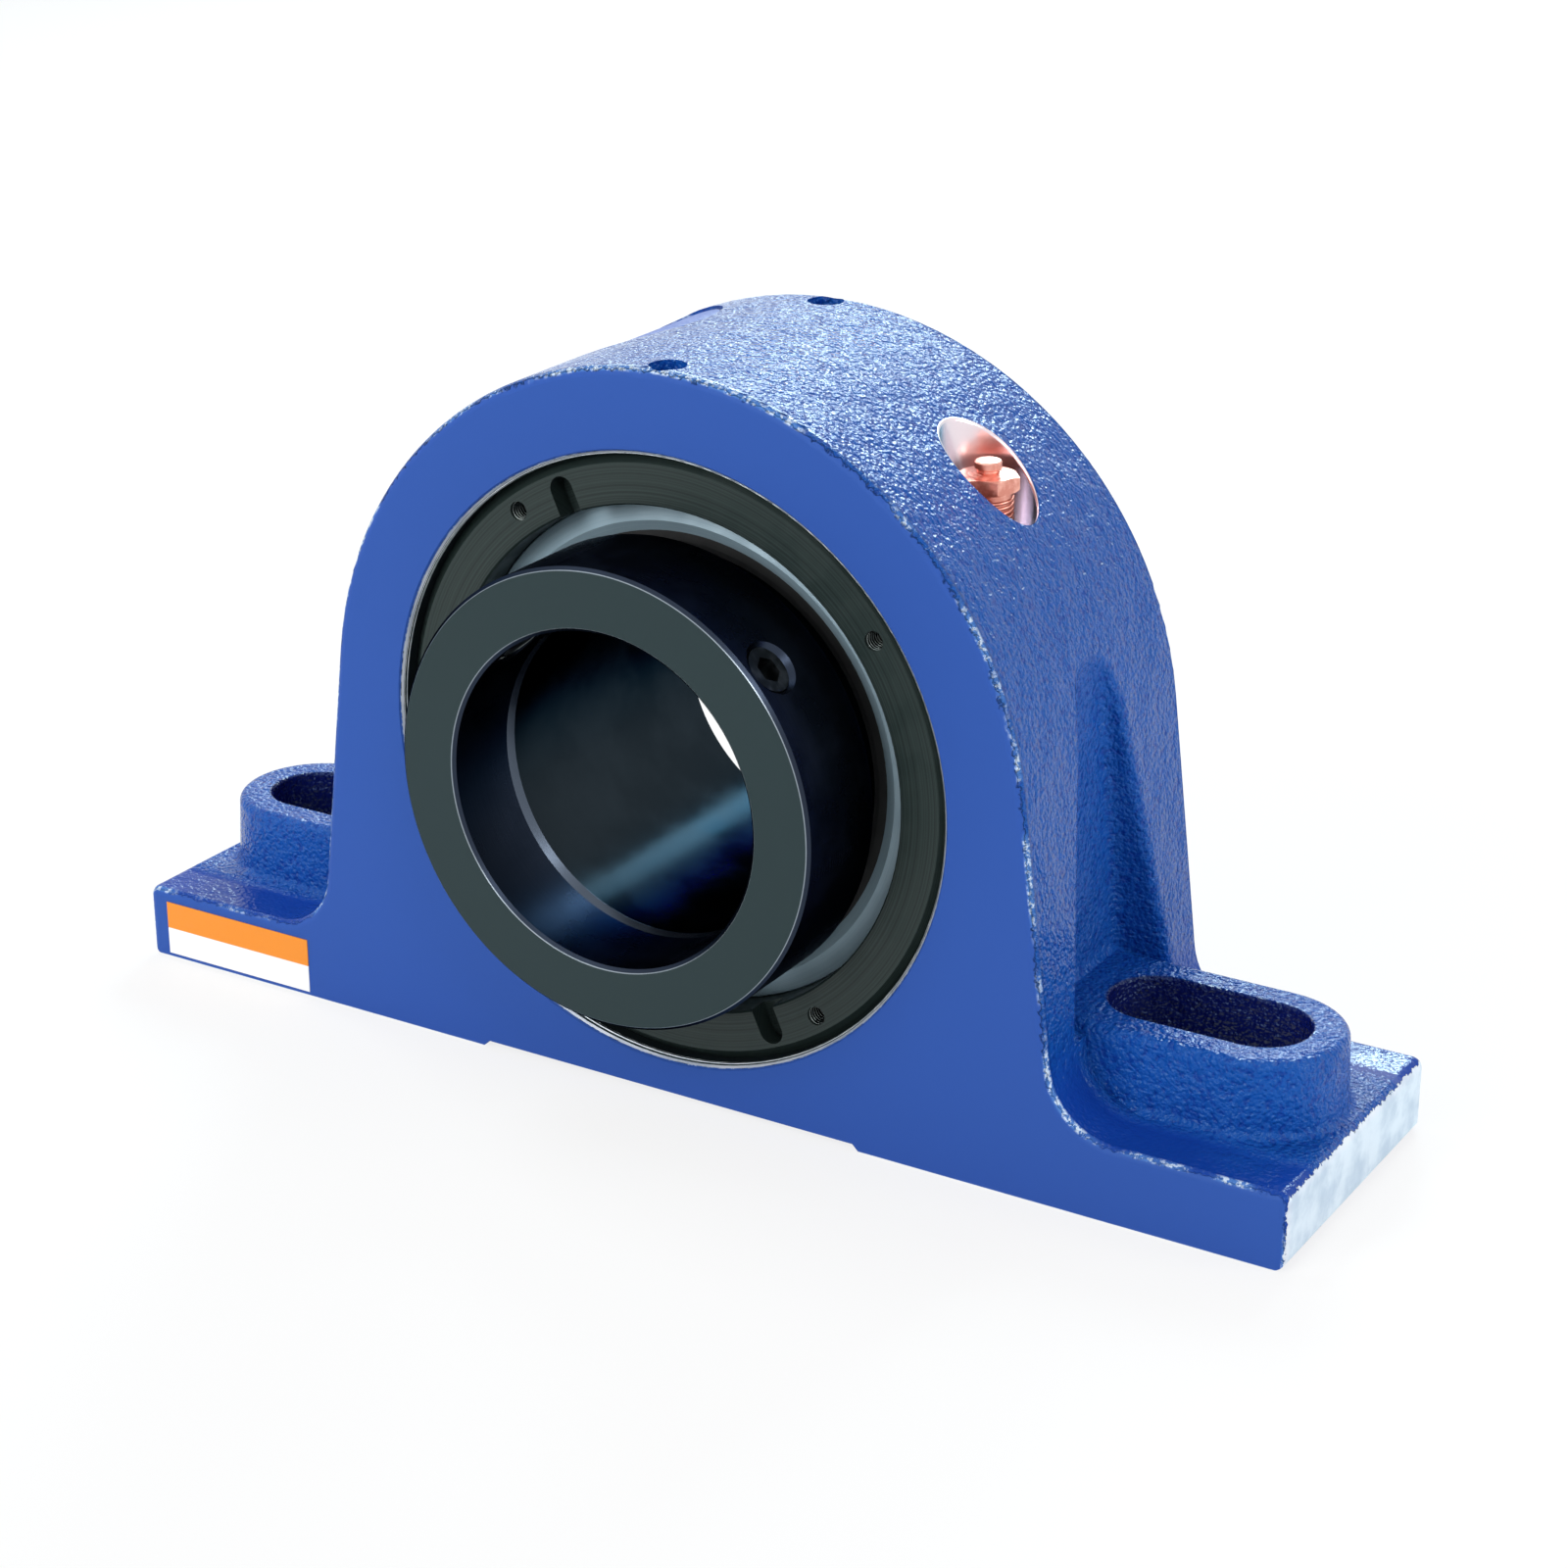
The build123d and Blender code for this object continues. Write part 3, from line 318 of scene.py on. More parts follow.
class CastSkin(Effect):
    """Pebbled skin of a sand casting under thick enamel."""

    name = "cast_skin"
    inputs = {"Grain Size": 1.6 * MM}
    outputs = ("Height", "Shaded Hollow")
    pebble_share: ClassVar[float] = 0.28
    grain_share: ClassVar[float] = 0.35
    fine_share: ClassVar[float] = 0.25
    wave_share: ClassVar[float] = 1.2
    grain_roughness: ClassVar[float] = 0.45
    fine_size: ClassVar[float] = 0.5
    wave_size: ClassVar[float] = 7.0
    # Grain noise range that marks the hollows where the enamel paints shade.
    hollow_shade_range: ClassVar[tuple[float, float]] = (0.5, 0.3)

    def draw(self, graph: Graph, given: Any) -> tuple[Socket, ...]:
        """Rounded pebbles among finer ones on a wavy ground.

        Args:
            graph: The group's graph.
            given: The group's input sockets by name.

        Returns:
            The height, and a mask of 1 in the hollows between grains for painted shade, else 0.
        """
        point = graph.place()[0]
        size = given["Grain Size"]
        cells = {"Vector": point, "Scale": graph.math("DIVIDE", 1.0, size)}
        distance = graph.add("ShaderNodeTexVoronoi", cells).outputs["Distance"]
        pebbles = graph.times(graph.math("SUBTRACT", 1.0, distance), self.pebble_share)
        noise = graph.noise(point, size, detail=1.0, roughness=self.grain_roughness)
        grains = graph.times(noise, self.grain_share)
        fine = graph.noise(point, graph.times(size, self.fine_size), detail=1.0)
        waves = graph.noise(point, graph.times(size, self.wave_size), detail=1.0)
        small = graph.math("ADD", pebbles, grains)
        large = graph.math("ADD", graph.times(fine, self.fine_share), graph.times(waves, self.wave_share))
        return graph.math("ADD", small, large), graph.step(noise, *self.hollow_shade_range)


class TurnedLines(Effect):
    """Fine lines that a lathe leaves around the shaft's axis."""

    name = "turned_lines"
    inputs = {"Pitch": 0.3 * MM}
    outputs = ("Height", "Shade")
    detail: ClassVar[float] = 3.0
    roughness: ClassVar[float] = 0.6
    shade_range: ClassVar[tuple[float, float]] = (0.35, 0.65)

    def draw(self, graph: Graph, given: Any) -> tuple[Socket, ...]:
        """Noise over the distance from the axis plus the distance along it."""
        _, x, y, z = graph.place()
        path = graph.math("ADD", graph.shaft_radius(x, z), y)
        where = graph.math("DIVIDE", path, given["Pitch"])
        sockets = {"W": where, "Scale": 1.0, "Detail": self.detail, "Roughness": self.roughness}
        lines = graph.add("ShaderNodeTexNoise", sockets, noise_dimensions="1D").outputs[0]
        return lines, graph.step(lines, *self.shade_range)


class Smudges(Effect):
    """Uneven film of oil, dust and handling."""

    name = "smudges"
    inputs = {"Patch Size": 12.0 * MM}
    outputs = ("Mask",)
    detail: ClassVar[float] = 4.0
    roughness: ClassVar[float] = 0.6
    mask_range: ClassVar[tuple[float, float]] = (0.38, 0.66)

    def draw(self, graph: Graph, given: Any) -> tuple[Socket, ...]:
        """Soft patches with a finer break-up."""
        broad = graph.noise(graph.place()[0], given["Patch Size"], self.detail, self.roughness)
        return (graph.step(broad, *self.mask_range),)


@dataclass(frozen=True)
class Finish:
    """A surface finish with its material, made on first use."""

    name: str
    colour: Colour
    roughness: float

    def material(self) -> bpy.types.Material:
        """The finish's material.

        Returns:
            The material, the same one at each call.
        """
        found = bpy.data.materials.get(self.name)
        if found:
            return found
        made = bpy.data.materials.new(self.name)
        made.use_nodes = True
        made.diffuse_color = (*self.colour, 1.0)
        graph = Graph(made.node_tree)
        plain = {"Base Color": self.colour, "Roughness": self.roughness}
        shader = graph.add("ShaderNodeBsdfPrincipled", plain)
        self.draw(graph, shader)
        graph.add("ShaderNodeOutputMaterial", {"Surface": shader.outputs[0]})
        return made

    def draw(self, graph: Graph, shader: bpy.types.Node) -> None:
        """Adds the finish's own nodes and links them to the shader.

        Args:
            graph: The material's graph.
            shader: The Principled shader.
        """
        raise NotImplementedError

    def dress(self, *nodes: str) -> None:
        """Gives the finish to CAD nodes.

        Args:
            nodes: Names of the nodes.
        """
        for node in nodes:
            paint(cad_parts[node], self.material())


@dataclass(frozen=True)
class CastEnamel(Finish):
    """Thick blue enamel over a casting, smooth on machined faces, with bare metal where it was cut later,
    painted shade in the grain hollows, pooled hollows and bolt slots, and painted highlights along the face
    edges.
    """

    face_roughness: float = 0.5
    specular: float = 0.2
    highlight: Colour = (0.62, 0.93, 1.0)
    face_colour: Colour = rgb(46, 82, 164)
    # Painted shade colours for the grain hollows, the pooled hollows and the bolt slots, then painted
    # highlight colours for the face edges.
    hollow_shade_colour: Colour = rgb(12, 46, 138)
    pool_shade_colour: Colour = rgb(14, 44, 146)
    slot_shade_colour: Colour = rgb(12, 22, 88)
    rim_highlight_colour: Colour = rgb(86, 136, 206)
    glint_colour: Colour = rgb(214, 230, 248)
    metal_colour: Colour = rgb(230, 236, 246)
    worn_metal_colour: Colour = rgb(200, 210, 226)
    groove_colour: Colour = rgb(44, 52, 56)
    metal_roughness: float = 0.42
    port_colour: Colour = rgb(236, 222, 228)
    port_roughness: float = 0.2
    grain_size: float = 1.6 * MM
    bump: float = 1.6 * MM
    # Share of painted shade in the grain hollows.
    hollow_shade_share: float = 0.6
    ragged_size: float = 1.6 * MM
    ragged_roughness: float = 0.6
    ragged_range: tuple[float, float] = (0.3, 0.7)
    ragged_shift: float = 0.35 * MM
    worn_size: float = 14.0 * MM
    pool_height: float = 46.0 * MM
    pool_start: float = 24.0 * MM
    pool_fade: float = 20.0 * MM
    pool_run: float = 7.0 * MM
    pool_size: float = 30.0 * MM
    pool_range: tuple[float, float] = (0.3, 0.5)
    pool_least: float = 0.6
    pool_share: float = 0.75
    # Share of painted shade over the pooled hollows and the shoulder field.
    pool_shade_share: float = 0.6
    bead_size: float = 1.3 * MM
    bead_roughness: float = 0.6
    bead_start: float = 41.9 * MM
    bead_run: float = 0.8 * MM
    bead_share: float = 0.8
    rim_size: float = 18.0 * MM
    rim_range: tuple[float, float] = (0.4, 0.56)
    rim_rise: tuple[float, float] = (-1.4 * MM, -0.5 * MM)
    rim_fall: tuple[float, float] = (0.1 * MM, 0.5 * MM)
    # Share of the painted highlight on the rim.
    rim_share: float = 0.7
    # Painted glints: near-white flecks on the rim.
    glint_size: float = 1.5 * MM
    glint_roughness: float = 0.65
    glint_range: tuple[float, float] = (0.5, 0.58)
    glint_share: float = 0.9
    face: float = 43.7 * MM
    face_border: float = 0.2 * MM
    end: float = 179.3 * MM
    bare_border: float = 0.1 * MM
    bare_metallic: float = 0.6
    underside: tuple[float, float] = (0.05 * MM, 0.2 * MM)
    arch_radius: float = 105.8 * MM
    field_angle: float = 118.0
    field_y: float = 14.0 * MM
    field_radius: float = 29.0 * MM
    field_border: float = 1.0 * MM
    field_depths: tuple[float, float] = (6.0 * MM, 4.0 * MM)
    field_roughness: float = 0.4
    bore: float = 84.1 * MM
    groove: float = 83.5 * MM
    groove_border: float = 0.05 * MM
    slot_x: float = 137.6 * MM
    slot_length: float = 54.4 * MM
    slot_width: float = 26.0 * MM
    slot_border: tuple[float, float] = (0.2 * MM, 1.2 * MM)
    port_x: float = 68.6 * MM
    port_y: float = 3.0 * MM
    port_radius: float = 12.9 * MM
    port_border: float = 0.1 * MM
    port_height: float = 150.0 * MM
    port_rise: float = 1.0 * MM

    def cast_share(self, graph: Graph, y: Socket, shift: Socket) -> Socket:
        """Where the cast skin shows, with a ragged border to the machined faces.

        Args:
            graph: The material's graph.
            y: The point's Y.
            shift: Ragged offset in metres.

        Returns:
            1 on cast skin, 0 on the machined faces.
        """
        depth = graph.math("ADD", graph.math("ABSOLUTE", y), shift)
        return graph.fall(depth, self.face - self.face_border, self.face + self.face_border)

    def port_share(self, graph: Graph, x: Socket, y: Socket, z: Socket) -> Socket:
        """Where the polished wall of the grease port is.

        Args:
            graph: The material's graph.
            x: The point's X.
            y: The point's Y.
            z: The point's Z.

        Returns:
            1 in the port, else 0.
        """
        side = graph.math("SUBTRACT", x, self.port_x)
        off_port = graph.reach(side, graph.math("SUBTRACT", y, self.port_y))
        inside = graph.fall(off_port, self.port_radius, self.port_radius + self.port_border)
        return graph.times(inside, graph.step(z, self.port_height, self.port_height + self.port_rise))

    def bare_share(self, graph: Graph, x: Socket, z: Socket, shift: Socket) -> Socket:
        """Where the metal is bare: foot ends, bores and underside.

        Args:
            graph: The material's graph.
            x: The point's X.
            z: The point's Z.
            shift: Ragged offset in metres.

        Returns:
            1 on bare metal, 0 on paint.
        """
        reach = graph.math("ADD", graph.math("ABSOLUTE", x), shift)
        end = graph.step(reach, self.end - self.bare_border, self.end + self.bare_border)
        bore = graph.fall(graph.shaft_radius(x, z), self.bore - self.bare_border, self.bore)
        under = graph.fall(z, *self.underside)
        return graph.math("MAXIMUM", graph.math("MAXIMUM", end, bore), under)

    def pool_mask(self, graph: Graph, point: Socket, y: Socket, z: Socket) -> Socket:
        """Where thick paint pooled smooth, in the hollows along the front and back of the feet; the enamel
        also paints shade there.

        Args:
            graph: The material's graph.
            point: The point on the object.
            y: The point's Y.
            z: The point's Z.

        Returns:
            1 where it pooled, else 0.
        """
        low = graph.fall(z, self.pool_height - self.pool_fade, self.pool_height)
        outer = graph.step(graph.math("ABSOLUTE", y), self.pool_start, self.pool_start + self.pool_run)
        patches = graph.step(graph.noise(point, self.pool_size), *self.pool_range, self.pool_least, 1.0)
        return graph.times(low, outer, patches)

    def field_share(self, graph: Graph, x: Socket, y: Socket, z: Socket) -> Socket:
        """Where the smooth round field on the left shoulder is.

        Args:
            graph: The material's graph.
            x: The point's X.
            y: The point's Y.
            z: The point's Z.

        Returns:
            1 on the field, else 0.
        """
        angle = graph.math("ARCTAN2", graph.math("SUBTRACT", z, SHAFT_HEIGHT), x)
        turn = graph.math("SUBTRACT", angle, math.radians(self.field_angle))
        off_field = graph.reach(graph.times(turn, self.arch_radius), graph.math("SUBTRACT", y, self.field_y))
        inside = graph.fall(off_field, self.field_radius - self.field_border, self.field_radius)
        low, high = (self.arch_radius - depth for depth in self.field_depths)
        return graph.times(inside, graph.step(graph.shaft_radius(x, z), low, high))

    def slot_shade_share(self, graph: Graph, x: Socket, y: Socket) -> Socket:
        """Where the walls of the bolt slots are, which the enamel darkens as painted shade.

        Args:
            graph: The material's graph.
            x: The point's X.
            y: The point's Y.

        Returns:
            1 inside the slots, else 0.
        """
        half_run = (self.slot_length - self.slot_width) / 2
        off_centre = graph.math("ABSOLUTE", graph.math("SUBTRACT", graph.math("ABSOLUTE", x), self.slot_x))
        past_run = graph.math("MAXIMUM", graph.math("SUBTRACT", off_centre, half_run), 0.0)
        low, high = (self.slot_width / 2 + border for border in self.slot_border)
        return graph.fall(graph.reach(past_run, y), low, high)

    def rim_highlights(self, graph: Graph, point: Socket, y: Socket) -> tuple[Socket, Socket]:
        """Where a painted highlight and painted glints run along the edges of the machined faces.

        Args:
            graph: The material's graph.
            point: The point on the object.
            y: The point's Y.

        Returns:
            1 where the painted highlight lies on the rim, else 0, and 1 on a painted glint, else 0.
        """
        depth = graph.math("ABSOLUTE", y)
        rise = graph.step(depth, *(self.face + shift for shift in self.rim_rise))
        fall = graph.fall(depth, *(self.face + shift for shift in self.rim_fall))
        stretch = graph.step(graph.noise(point, self.rim_size), *self.rim_range)
        noise = graph.noise(point, self.glint_size, detail=3.0, roughness=self.glint_roughness)
        sheen = graph.times(rise, fall, stretch)
        return sheen, graph.times(sheen, graph.step(noise, *self.glint_range))

    def draw(self, graph: Graph, shader: bpy.types.Node) -> None:
        """Splits the surface into cast skin, machined faces and bare metal by place.

        Args:
            graph: The material's graph.
            shader: The Principled shader.
        """
        point, x, y, z = graph.place()
        skin = CastSkin().put(graph, Grain_Size=self.grain_size).outputs
        ragged = graph.noise(point, self.ragged_size, roughness=self.ragged_roughness)
        shift = graph.step(ragged, *self.ragged_range, -self.ragged_shift, self.ragged_shift)
        cast = self.cast_share(graph, y, shift)
        port = self.port_share(graph, x, y, z)
        bare = graph.math("MAXIMUM", self.bare_share(graph, x, z, shift), port)
        smooth = self.field_share(graph, x, y, z)
        # The pooled hollows and the shoulder field keep little grain, and further down they get painted
        # shade.
        pool = graph.math("MAXIMUM", self.pool_mask(graph, point, y, z), smooth)
        grain = graph.math("SUBTRACT", 1.0, graph.times(pool, self.pool_share))
        # Painted shade: darker blue in the hollows between grains, less where paint pooled smooth.
        hollow_shade = graph.times(skin["Shaded Hollow"], grain, self.hollow_shade_share)
        skin_blue = graph.mix(hollow_shade, self.colour, self.hollow_shade_colour)
        # Painted shade: deeper blue over the pooled hollows of the feet and the shoulder field.
        skin_blue = graph.mix(graph.times(pool, self.pool_shade_share), skin_blue, self.pool_shade_colour)
        blue = graph.mix(cast, self.face_colour, skin_blue)
        # Painted highlight: a light blue band and near-white glints along the edges of the machined faces.
        sheen, glint = self.rim_highlights(graph, point, y)
        blue = graph.mix(graph.times(sheen, self.rim_share), blue, self.rim_highlight_colour)
        blue = graph.mix(graph.times(glint, self.glint_share), blue, self.glint_colour)
        # Painted shade: dark navy on the walls of the bolt slots.
        blue = graph.mix(self.slot_shade_share(graph, x, y), blue, self.slot_shade_colour)
        worn = Smudges().put(graph, Patch_Size=self.worn_size).outputs[0]
        metal = graph.mix(worn, self.metal_colour, self.worn_metal_colour)
        metal = graph.mix(port, metal, self.port_colour)
        groove = graph.fall(graph.shaft_radius(x, z), self.groove, self.groove + self.groove_border)
        metal = graph.mix(groove, metal, self.groove_colour)
        graph.feed(shader.inputs["Base Color"], graph.mix(bare, blue, metal))
        graph.feed(shader.inputs["Metallic"], graph.times(bare, graph.blend(port, self.bare_metallic, 1.0)))
        skin_rough = graph.blend(smooth, self.roughness, self.field_roughness)
        painted = graph.blend(cast, self.face_roughness, skin_rough)
        metal_rough = graph.blend(port, self.metal_roughness, self.port_roughness)
        graph.feed(shader.inputs["Roughness"], graph.mix_value(bare, painted, metal_rough))
        shader.inputs["Specular IOR Level"].default_value = self.specular
        shader.inputs["Specular Tint"].default_value = (*self.highlight, 1.0)
        bead = graph.noise(point, self.bead_size, roughness=self.bead_roughness)
        edge = graph.step(graph.math("ABSOLUTE", y), self.bead_start, self.bead_start + self.bead_run)
        relief = graph.math("ADD", skin["Height"], graph.times(bead, edge, self.bead_share))
        painted_share = graph.times(cast, graph.math("SUBTRACT", 1.0, bare))
        graph.bump(shader, graph.times(relief, grain, painted_share), self.bump)


@dataclass(frozen=True)
class TurnedSteel(Finish):
    """Steel turned on a lathe, bare or under a thin dark film."""

    metallic: float = 1.0
    line_colour: Colour = rgb(200, 205, 208)
    line_share: float = 0.25
    pitch: float = 0.3 * MM
    bump: float = 0.006 * MM
    patch: float = 9.0 * MM
    patch_roughness: float = 0.12
    specular: float = 0.5

    def draw(self, graph: Graph, shader: bpy.types.Node) -> None:
        """Lathe lines in colour and bump, and a film that changes the gloss."""
        lines = TurnedLines().put(graph, Pitch=self.pitch).outputs
        film = Smudges().put(graph, Patch_Size=self.patch).outputs[0]
        share = graph.times(lines["Shade"], self.line_share)
        graph.feed(shader.inputs["Base Color"], graph.mix(share, self.colour, self.line_colour))
        shader.inputs["Metallic"].default_value = self.metallic
        shader.inputs["Specular IOR Level"].default_value = self.specular
        rough = graph.blend(film, self.roughness, self.roughness + self.patch_roughness)
        graph.feed(shader.inputs["Roughness"], rough)
        graph.bump(shader, lines["Height"], self.bump)


@dataclass(frozen=True)
class BlackOxide(Finish):
    """Black oxide on turned steel, greyer on the ground end face and rubbed bright on its edges."""

    face_colour: Colour = rgb(46, 59, 61)
    edge_colour: Colour = rgb(168, 180, 190)
    tint: Colour = rgb(88, 96, 108)
    face_roughness: float = 0.42
    specular: float = 0.3
    face: float = -72.84 * MM
    face_border: float = 0.02 * MM
    face_edge: float = -72.6 * MM
    inner_radius: float = 46.05 * MM
    outer_radius: float = 60.85 * MM
    rim_border: float = 0.1 * MM
    rim_share: float = 0.7
    pitch: float = 0.35 * MM
    line_share: float = 0.6
    line_shade: float = 0.7
    patch: float = 20.0 * MM
    patch_roughness: float = 0.07
    bump: float = 0.004 * MM

    def draw(self, graph: Graph, shader: bpy.types.Node) -> None:
        """Black body, grey-green end face and lighter edges round it.

        Args:
            graph: The material's graph.
            shader: The Principled shader.
        """
        _, x, y, z = graph.place()
        lines = TurnedLines().put(graph, Pitch=self.pitch).outputs
        film = Smudges().put(graph, Patch_Size=self.patch).outputs[0]
        radius = graph.shaft_radius(x, z)
        front = graph.fall(y, self.face, self.face + self.face_border)
        near = graph.fall(y, self.face_edge - self.rim_border, self.face_edge)
        inner = graph.fall(radius, self.inner_radius, self.inner_radius + self.rim_border)
        outer = graph.step(radius, self.outer_radius - self.rim_border, self.outer_radius)
        rim = graph.times(near, graph.math("MAXIMUM", inner, outer), self.rim_share)
        darker = tuple(channel * self.line_shade for channel in self.colour)
        body = graph.mix(graph.times(lines["Shade"], self.line_share), self.colour, darker)
        ends = graph.mix(front, body, self.face_colour)
        graph.feed(shader.inputs["Base Color"], graph.mix(rim, ends, self.edge_colour))
        graph.feed(shader.inputs["Metallic"], graph.blend(front, 1.0, 0.0))
        shader.inputs["Specular Tint"].default_value = (*self.tint, 1.0)
        gloss = graph.blend(film, self.roughness, self.roughness + self.patch_roughness)
        graph.feed(shader.inputs["Roughness"], graph.mix_value(front, gloss, self.face_roughness))
        shader.inputs["Specular IOR Level"].default_value = self.specular
        graph.bump(shader, lines["Height"], self.bump)


@dataclass(frozen=True)
class RingSteel(Finish):
    """Dark oiled ring with a ground bore and a bright chamfer at its front end."""

    chamfer_colour: Colour = rgb(86, 96, 110)
    tint: Colour = rgb(72, 74, 86)
    chamfer_start: float = -46.1 * MM
    chamfer_border: float = 0.05 * MM
    chamfer_radius: float = 47.6 * MM
    radius_border: float = 0.1 * MM
    pitch: float = 0.25 * MM
    patch: float = 26.0 * MM
    patch_light: float = 1.5
    patch_share: float = 0.5
    patch_roughness: float = 0.06
    bump: float = 0.003 * MM

    def draw(self, graph: Graph, shader: bpy.types.Node) -> None:
        """Dark bore with an oil film, and the chamfer cut bright.

        Args:
            graph: The material's graph.
            shader: The Principled shader.
        """
        _, x, y, z = graph.place()
        lines = TurnedLines().put(graph, Pitch=self.pitch).outputs
        film = Smudges().put(graph, Patch_Size=self.patch).outputs[0]
        before = graph.fall(y, self.chamfer_start - self.chamfer_border, self.chamfer_start)
        radius = graph.shaft_radius(x, z)
        inner = graph.fall(radius, self.chamfer_radius - self.radius_border, self.chamfer_radius)
        lighter = tuple(channel * self.patch_light for channel in self.colour)
        body = graph.mix(graph.times(film, self.patch_share), self.colour, lighter)
        chamfer = graph.times(before, inner)
        graph.feed(shader.inputs["Base Color"], graph.mix(chamfer, body, self.chamfer_colour))
        shader.inputs["Metallic"].default_value = 1.0
        shader.inputs["Specular Tint"].default_value = (*self.tint, 1.0)
        rough = graph.blend(film, self.roughness, self.roughness + self.patch_roughness)
        graph.feed(shader.inputs["Roughness"], rough)
        graph.bump(shader, lines["Height"], self.bump)


@dataclass(frozen=True)
class Moulded(Finish):
    """Rubber with a fine matt texture and a film of dust."""

    texture: float = 0.35 * MM
    bump: float = 0.01 * MM
    patch: float = 8.0 * MM
    patch_light: float = 1.5
    patch_lift: float = 0.01
    patch_share: float = 0.3

    def draw(self, graph: Graph, shader: bpy.types.Node) -> None:
        """Fine even texture with a dusty film."""
        fine = graph.noise(graph.place()[0], self.texture)
        film = Smudges().put(graph, Patch_Size=self.patch).outputs[0]
        lighter = tuple(min(1.0, channel * self.patch_light + self.patch_lift) for channel in self.colour)
        share = graph.times(film, self.patch_share)
        graph.feed(shader.inputs["Base Color"], graph.mix(share, self.colour, lighter))
        graph.bump(shader, fine, self.bump)


@dataclass(frozen=True)
class PlatedMetal(Finish):
    """Plated or polished metal with faint handling marks."""

    tint: Colour = rgb(230, 230, 230)
    texture: float = 0.8 * MM
    bump: float = 0.004 * MM
    patch: float = 4.0 * MM
    patch_roughness: float = 0.1

    def draw(self, graph: Graph, shader: bpy.types.Node) -> None:
        """Patches of a second tint and a fine ripple."""
        film = Smudges().put(graph, Patch_Size=self.patch).outputs[0]
        graph.feed(shader.inputs["Base Color"], graph.mix(film, self.colour, self.tint))
        shader.inputs["Metallic"].default_value = 1.0
        rough = graph.blend(film, self.roughness, self.roughness + self.patch_roughness)
        graph.feed(shader.inputs["Roughness"], rough)
        graph.bump(shader, graph.noise(graph.place()[0], self.texture), self.bump)


@dataclass(frozen=True)
class LabelFilm(Finish):
    """Coated paper label with a coloured upper field over a white one."""

    lower_colour: Colour = rgb(250, 250, 248)
    split: float = 9.3 * MM
    split_border: float = 0.05 * MM
    texture: float = 0.5 * MM
    bump: float = 0.01 * MM
    gloss_range: tuple[float, float] = (0.3, 0.7)
    gloss_change: float = 0.1

    def draw(self, graph: Graph, shader: bpy.types.Node) -> None:
        """Coloured above the split, white below, with a faint paper texture."""
        point, _, _, z = graph.place()
        upper = graph.step(z, self.split - self.split_border, self.split + self.split_border)
        graph.feed(shader.inputs["Base Color"], graph.mix(upper, self.lower_colour, self.colour))
        fine = graph.noise(point, self.texture)
        rough = graph.step(fine, *self.gloss_range, self.roughness, self.roughness + self.gloss_change)
        graph.feed(shader.inputs["Roughness"], rough)
        graph.bump(shader, fine, self.bump)


BLUE_ENAMEL = CastEnamel("cast_enamel", rgb(20, 80, 166), 0.13)
BLACK_OXIDE = BlackOxide("black_oxide", rgb(48, 56, 70), 0.27)
COVER_STEEL = TurnedSteel("turned_cover", rgb(32, 43, 42), 0.36, metallic=0.2, line_colour=rgb(64, 80, 77),
                          line_share=0.3, pitch=0.6 * MM, specular=0.3)
RING_STEEL = RingSteel("oiled_ring", rgb(40, 47, 52), 0.19)
BEARING_STEEL = TurnedSteel("ground_steel", rgb(168, 172, 178), 0.18)
CAGE_STEEL = TurnedSteel("machined_cage", rgb(146, 140, 128), 0.32)
ROLLING_STEEL = PlatedMetal("polished_roller", rgb(196, 200, 206), 0.08, tint=rgb(214, 216, 220))
SEAL_PLATE = TurnedSteel("seal_plating", rgb(142, 168, 182), 0.42, metallic=0.15,
                         line_colour=rgb(176, 196, 204), pitch=0.5 * MM)
SCREW_STEEL = PlatedMetal("oxide_screw", rgb(60, 66, 70), 0.3, tint=rgb(84, 90, 94))
THREAD_STEEL = PlatedMetal("cut_thread", rgb(92, 100, 100), 0.2, tint=rgb(132, 140, 138))
BORE_METAL = PlatedMetal("cut_bore", rgb(196, 206, 212), 0.35, tint=rgb(226, 232, 236))
COPPER_PLATE = PlatedMetal("copper_plating", rgb(214, 140, 124), 0.3, tint=rgb(238, 180, 164))
SEAL_RUBBER = Moulded("moulded_rubber", rgb(26, 27, 28), 0.6)
LABEL_FILM = LabelFilm("printed_film", rgb(242, 142, 22), 0.4)


def paint(piece: bpy.types.Object, material: bpy.types.Material) -> None:
    """Puts one material on a piece.

    Args:
        piece: The piece.
        material: Its material.
    """
    piece.data.materials.clear()
    piece.data.materials.append(material)


def new_piece(name: str, mesh: bmesh.types.BMesh, finish: Finish, body: Body) -> None:
    """Makes an object of a mesh, dresses it and lets it ride on a body.

    Args:
        name: The piece's name.
        mesh: Its mesh, which is freed.
        finish: Its finish.
        body: The body that carries it.
    """
    bmesh.ops.recalc_face_normals(mesh, faces=mesh.faces)
    data = bpy.data.meshes.new(name)
    mesh.to_mesh(data)
    mesh.free()
    data.shade_smooth()
    piece = bpy.data.objects.new(name, data)
    bpy.context.scene.collection.objects.link(piece)
    paint(piece, finish.material())
    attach(piece, body.value)
    log.info("%s: %d faces", name, len(data.polygons))


